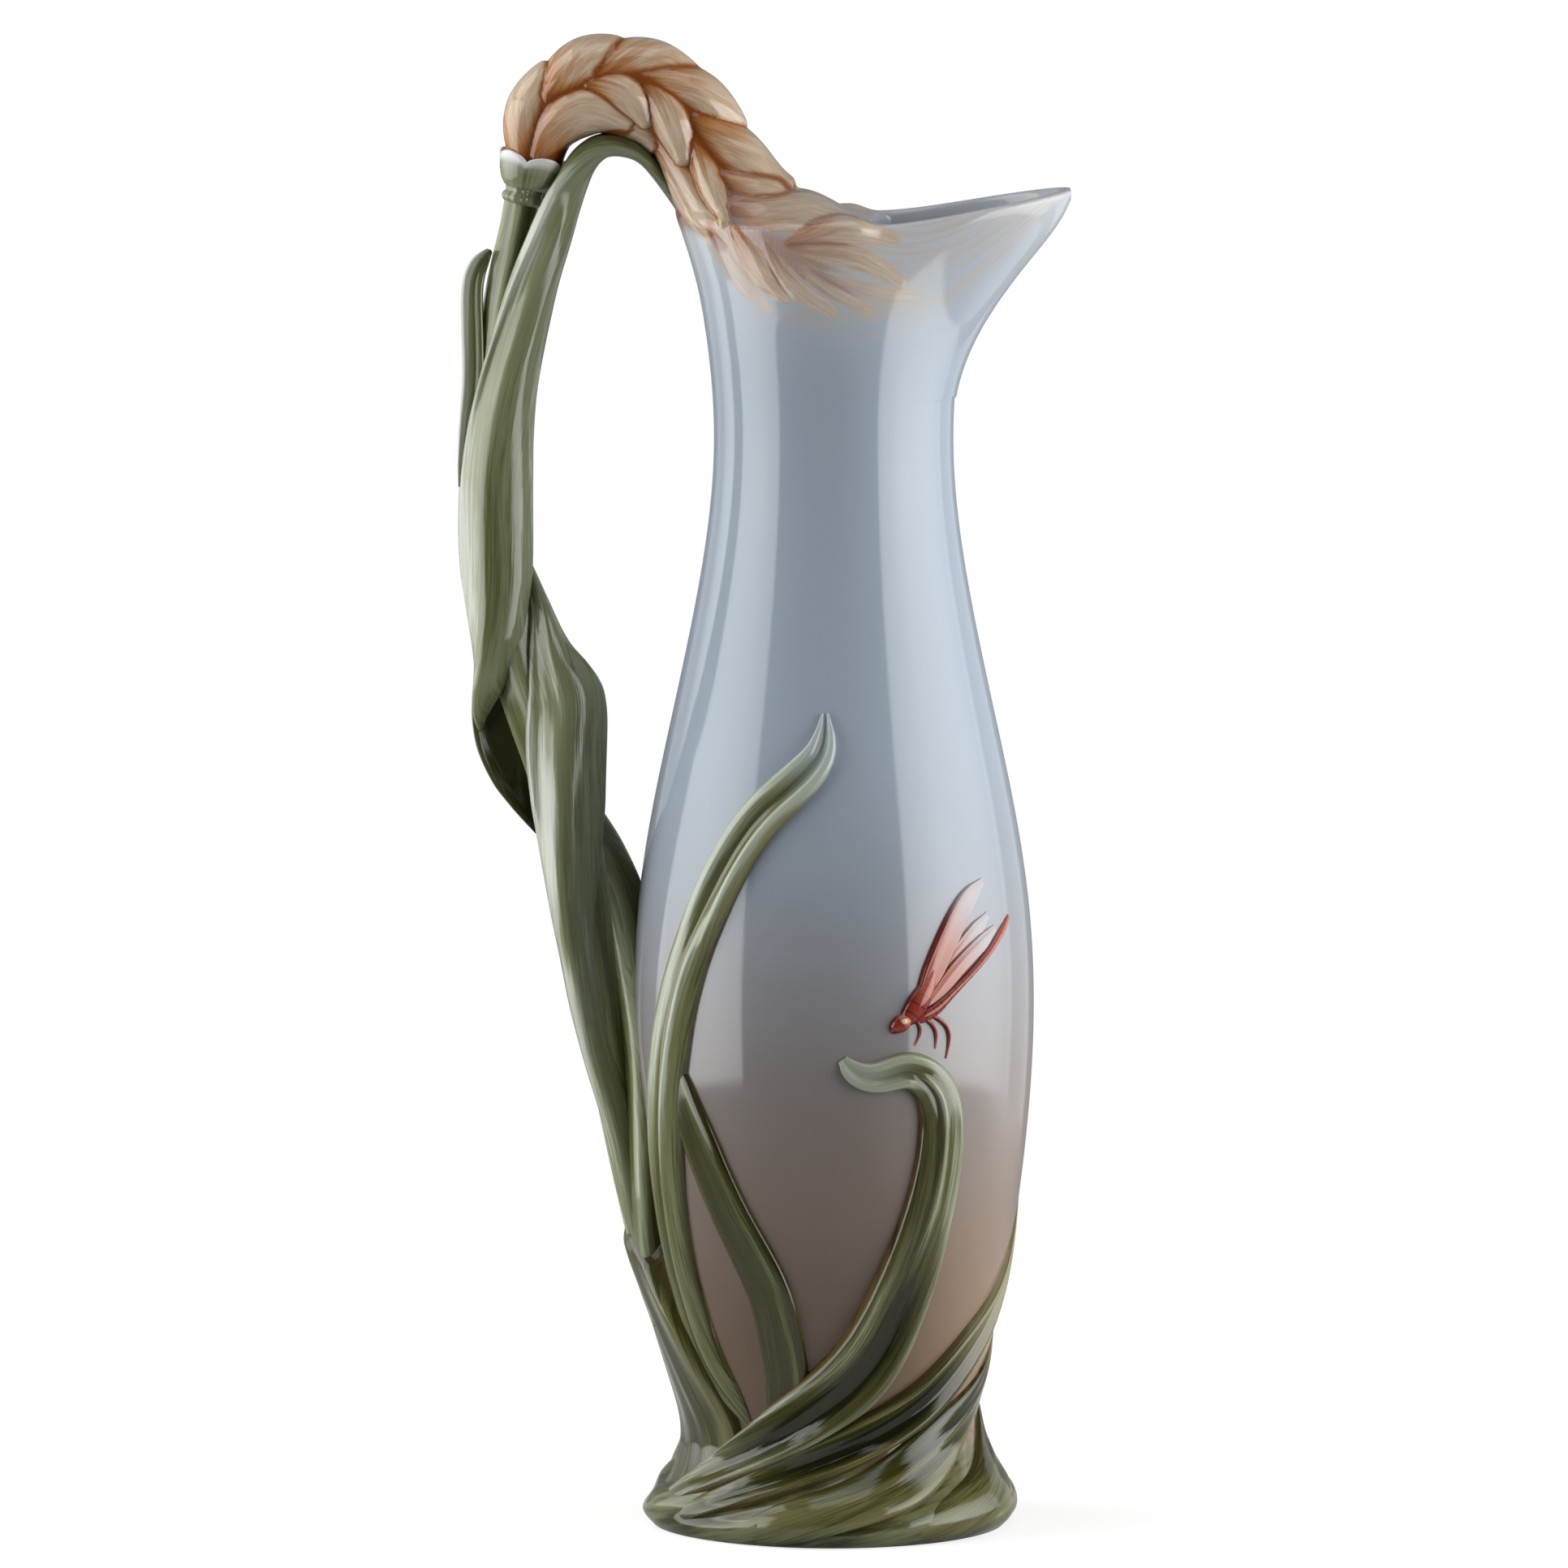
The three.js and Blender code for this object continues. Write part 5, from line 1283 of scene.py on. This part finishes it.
def dragonfly():
    red = glaze("dragonfly_red", red_paint)
    veined = glaze("dragonfly_wing", wing_paint)

    # A member's points are pixels of the photograph, each with a half width and a rise
    def member(name, points, shape, paint):
        px, py, wide, high = np.array(points, float).T
        line = np.stack((*seen_on_vessel(px, py), wide, high), -1)
        rows = [(0, shape), (1, shape)]
        blade(f"dragonfly_{name}", line, rows, paint, steps=70, sides=25, sink=0.4, tip=(0.3, 0.9))

    def wing(name, shape, *points):
        member(name, points, shape, veined)

    def limb(name, *points):
        member(name, points, CROWN, red)

    wing("mid_wing", VEIL, (1138, 1234, 1.6, 0.7), (1174, 1182, 3, 1.0), (1200, 1149, 3, 1.0),
         (1217, 1127, 1.3, 0.4))
    wing("hind_wing", VEIL, (1138, 1244, 1.8, 1.0), (1150, 1230, 2.4, 1.3), (1178, 1194, 3.1, 1.4),
         (1206, 1164, 3, 1.4), (1226, 1143, 1.3, 0.4))
    wing("fore_wing", WING, (1134, 1236, 2.4, 1.6), (1150, 1196, 3.8, 1.9), (1172, 1146, 4.2, 1.7),
         (1192, 1108, 3.6, 1.3), (1210, 1086, 1.4, 0.4))
    limb("abdomen", (1124, 1256, 1.6, 1.2), (1136, 1252, 2.2, 2.0), (1149, 1245, 2.1, 2.1),
         (1170, 1225, 1.6, 2.1), (1192, 1202, 1.3, 2.0), (1214, 1176, 1.25, 1.9), (1230, 1152, 1.3, 1.6),
         (1242, 1129, 0.9, 0.6))
    limb("thorax", (1114, 1262, 1.8, 1), (1121, 1251, 3.1, 2.6), (1131, 1235, 3.5, 3.2),
         (1142, 1215, 2.6, 2.6), (1150, 1196, 1.2, 1.2))
    limb("head", (1099, 1272, 1, 0.8), (1103, 1267, 2.2, 2.2), (1110, 1261, 2.8, 2.8),
         (1117, 1255, 2.2, 2.2), (1122, 1251, 1, 1))
    limb("leg_1", (1124, 1252, 0.7, 1.4), (1133, 1268, 0.6, 1.2), (1127, 1288, 0.35, 0.5))
    limb("leg_2", (1134, 1252, 0.8, 1.4), (1151, 1268, 0.65, 1.3), (1152, 1292, 0.35, 0.5))
    limb("leg_3", (1142, 1248, 0.8, 1.4), (1167, 1269, 0.65, 1.3), (1165, 1304, 0.35, 0.5))
    # Eye, a bead on the head
    eye_px = 1110.5
    eye_py = 1257.0
    eye_radius = 1.25
    eye_rise = 2.7
    belly = 61.0
    rows = 14
    columns = 24
    bearing, z = (float(v) for v in seen_on_vessel(np.array(eye_px), np.array(eye_py)))
    tilt = np.linspace(0, np.pi, rows)[:, None]
    turn = np.linspace(0, 2 * np.pi, columns, endpoint=False)
    across = eye_radius * np.sin(tilt) * np.cos(turn)
    up = eye_radius * np.sin(tilt) * np.sin(turn)
    crest = np.cos(tilt) + 0 * turn
    points = on_vessel(bearing + np.degrees(across / belly), z + up, eye_rise + crest)
    faces = [sheet_faces(rows, columns, closed=True)]
    paint = glaze("dragonfly_eye", eye_paint)
    fired("dragonfly_eye", points, faces, paint, {"crest": crest.ravel()}, stands_for=[])


dragonfly()


# Floor, light and camera

def rays(wash):
    """1 for rays from the eye, and 1 for rays that a surface has mirrored or let through."""
    path = wash.node("ShaderNodeLightPath").socket.node.outputs
    seen, glossy, through = (
        Wash(wash.tree, path[n]) for n in ("Is Camera Ray", "Is Glossy Ray", "Is Transmission Ray")
    )
    return seen, glossy + through


def floor_shade(wash):
    """Pale and matt, and white to the eye except in the vase's shadow."""
    place = wash.node("ShaderNodeNewGeometry")
    away = wash.node("ShaderNodeVectorMath", {"operation": "LENGTH"}, {0: place}, out=1).between(0.16, 0.6)
    tone = place.cloud(3.0).over(ink(196, 196, 196), ink(202, 202, 202))
    matt = wash.node("ShaderNodeBsdfDiffuse", {}, {"Color": away.over(tone, ink(0, 0, 0))})
    seen, mirrored = rays(wash)
    rear = place.part(1).between(0.0, 0.25)
    aside = wash.maths("ABSOLUTE", place.part(0)).between(0.3, 0.68)
    glow = (seen + mirrored * (0.16 + rear * (0.1 + aside * 0.7))) * (0.68 + away * 0.32)
    white = wash.node("ShaderNodeEmission", {}, {"Color": glow, "Strength": 1.0})
    return wash.node("ShaderNodeAddShader", {}, {0: matt, 1: white})


def stage():
    columns = 96
    rings = (0.1, 0.25, 0.45, 0.7)
    middle = AXIS / METRE
    turn = np.linspace(0, 2 * np.pi, columns, endpoint=False)
    points = [(middle[0] + r * np.cos(a), middle[1] + r * np.sin(a), 0.0) for r in rings for a in turn]
    points.append((middle[0], middle[1], 0.0))
    quads = sheet_faces(len(rings), columns, closed=True)
    disc = fan(np.arange(columns), len(points) - 1)[:, ::-1]
    mesh = bpy.data.meshes.new("floor")
    mesh.from_pydata(points, [], quads.tolist() + disc.tolist())
    mesh.materials.append(material_of("floor_shade", floor_shade))
    floor = placed("floor", mesh)


def turned(way):
    return Vector(way).to_track_quat("-Z", "Y").to_euler()


def softbox(name, place, aim, width, height, power, spread=180):
    """An area lamp. A spread below 180 is a grid on it, which dims it towards the side."""
    lamp = bpy.data.lights.new(name, "AREA")
    lamp.shape = "RECTANGLE"
    lamp.size = width
    lamp.size_y = height
    lamp.energy = power
    lamp.spread = np.radians(spread)
    piece = placed(name, lamp)
    piece.location = place
    piece.rotation_euler = turned(np.subtract(aim, place))


def light():
    # Name, place, aim, width, height, power and spread
    softbox("left_softbox", (-1.14, 0.504, 0.28), (-0.166, 0.73, 0.24), 2.42, 1.1, 13.2, 112.6)
    softbox("right_softbox", (1.04, 0.03, 0.28), (0.1, 0.356, 0.24), 1.76, 1.1, 11.5, 116)
    softbox("left_rear_softbox", (-1.19, 1.07, 0.28), (0.0, 0.0, 0.24), 1.04, 1.1, 1.8)
    softbox("right_rear_softbox", (1.15, 1.11, 0.28), (0.0, 0.0, 0.24), 0.92, 1.1, 1.9)
    softbox("high_softbox", (-1.3, 0.15, 1.5), (0.0, 0.0, 0.2), 1.2, 1.0, 9)
    softbox("top_softbox", (0.0, -0.3, 1.6), (0.0, 0.0, 0.2), 1.0, 1.0, 4.4)
    # A dim room, white to the eye
    ambient = 0.055
    world = bpy.data.worlds.new("studio")
    bpy.context.scene.world = world
    world.use_nodes = True
    world.node_tree.nodes.clear()
    wash = Wash(world.node_tree)
    seen, mirrored = rays(wash)
    behind = wash.node("ShaderNodeTexCoord").part(1).between(0.55, 0.95)
    room = ambient + (1 - ambient) * (seen + mirrored * behind * 0.28).between(0.0, 1.0)
    back = wash.node("ShaderNodeBackground", {}, {"Color": ink(255, 255, 255), "Strength": room})
    wash.node("ShaderNodeOutputWorld", {}, {"Surface": back})


def camera():
    lens = bpy.data.cameras.new("camera")
    lens.sensor_width = 36.0
    lens.lens = FOCAL * lens.sensor_width / PHOTO
    lens.clip_end = 100.0
    piece = placed("camera", lens)
    piece.location = (EYE + AXIS) / METRE
    piece.rotation_euler = turned(AHEAD)
    bpy.context.scene.camera = piece


stage()
light()
camera()
bpy.context.scene.view_settings.view_transform = "Standard"
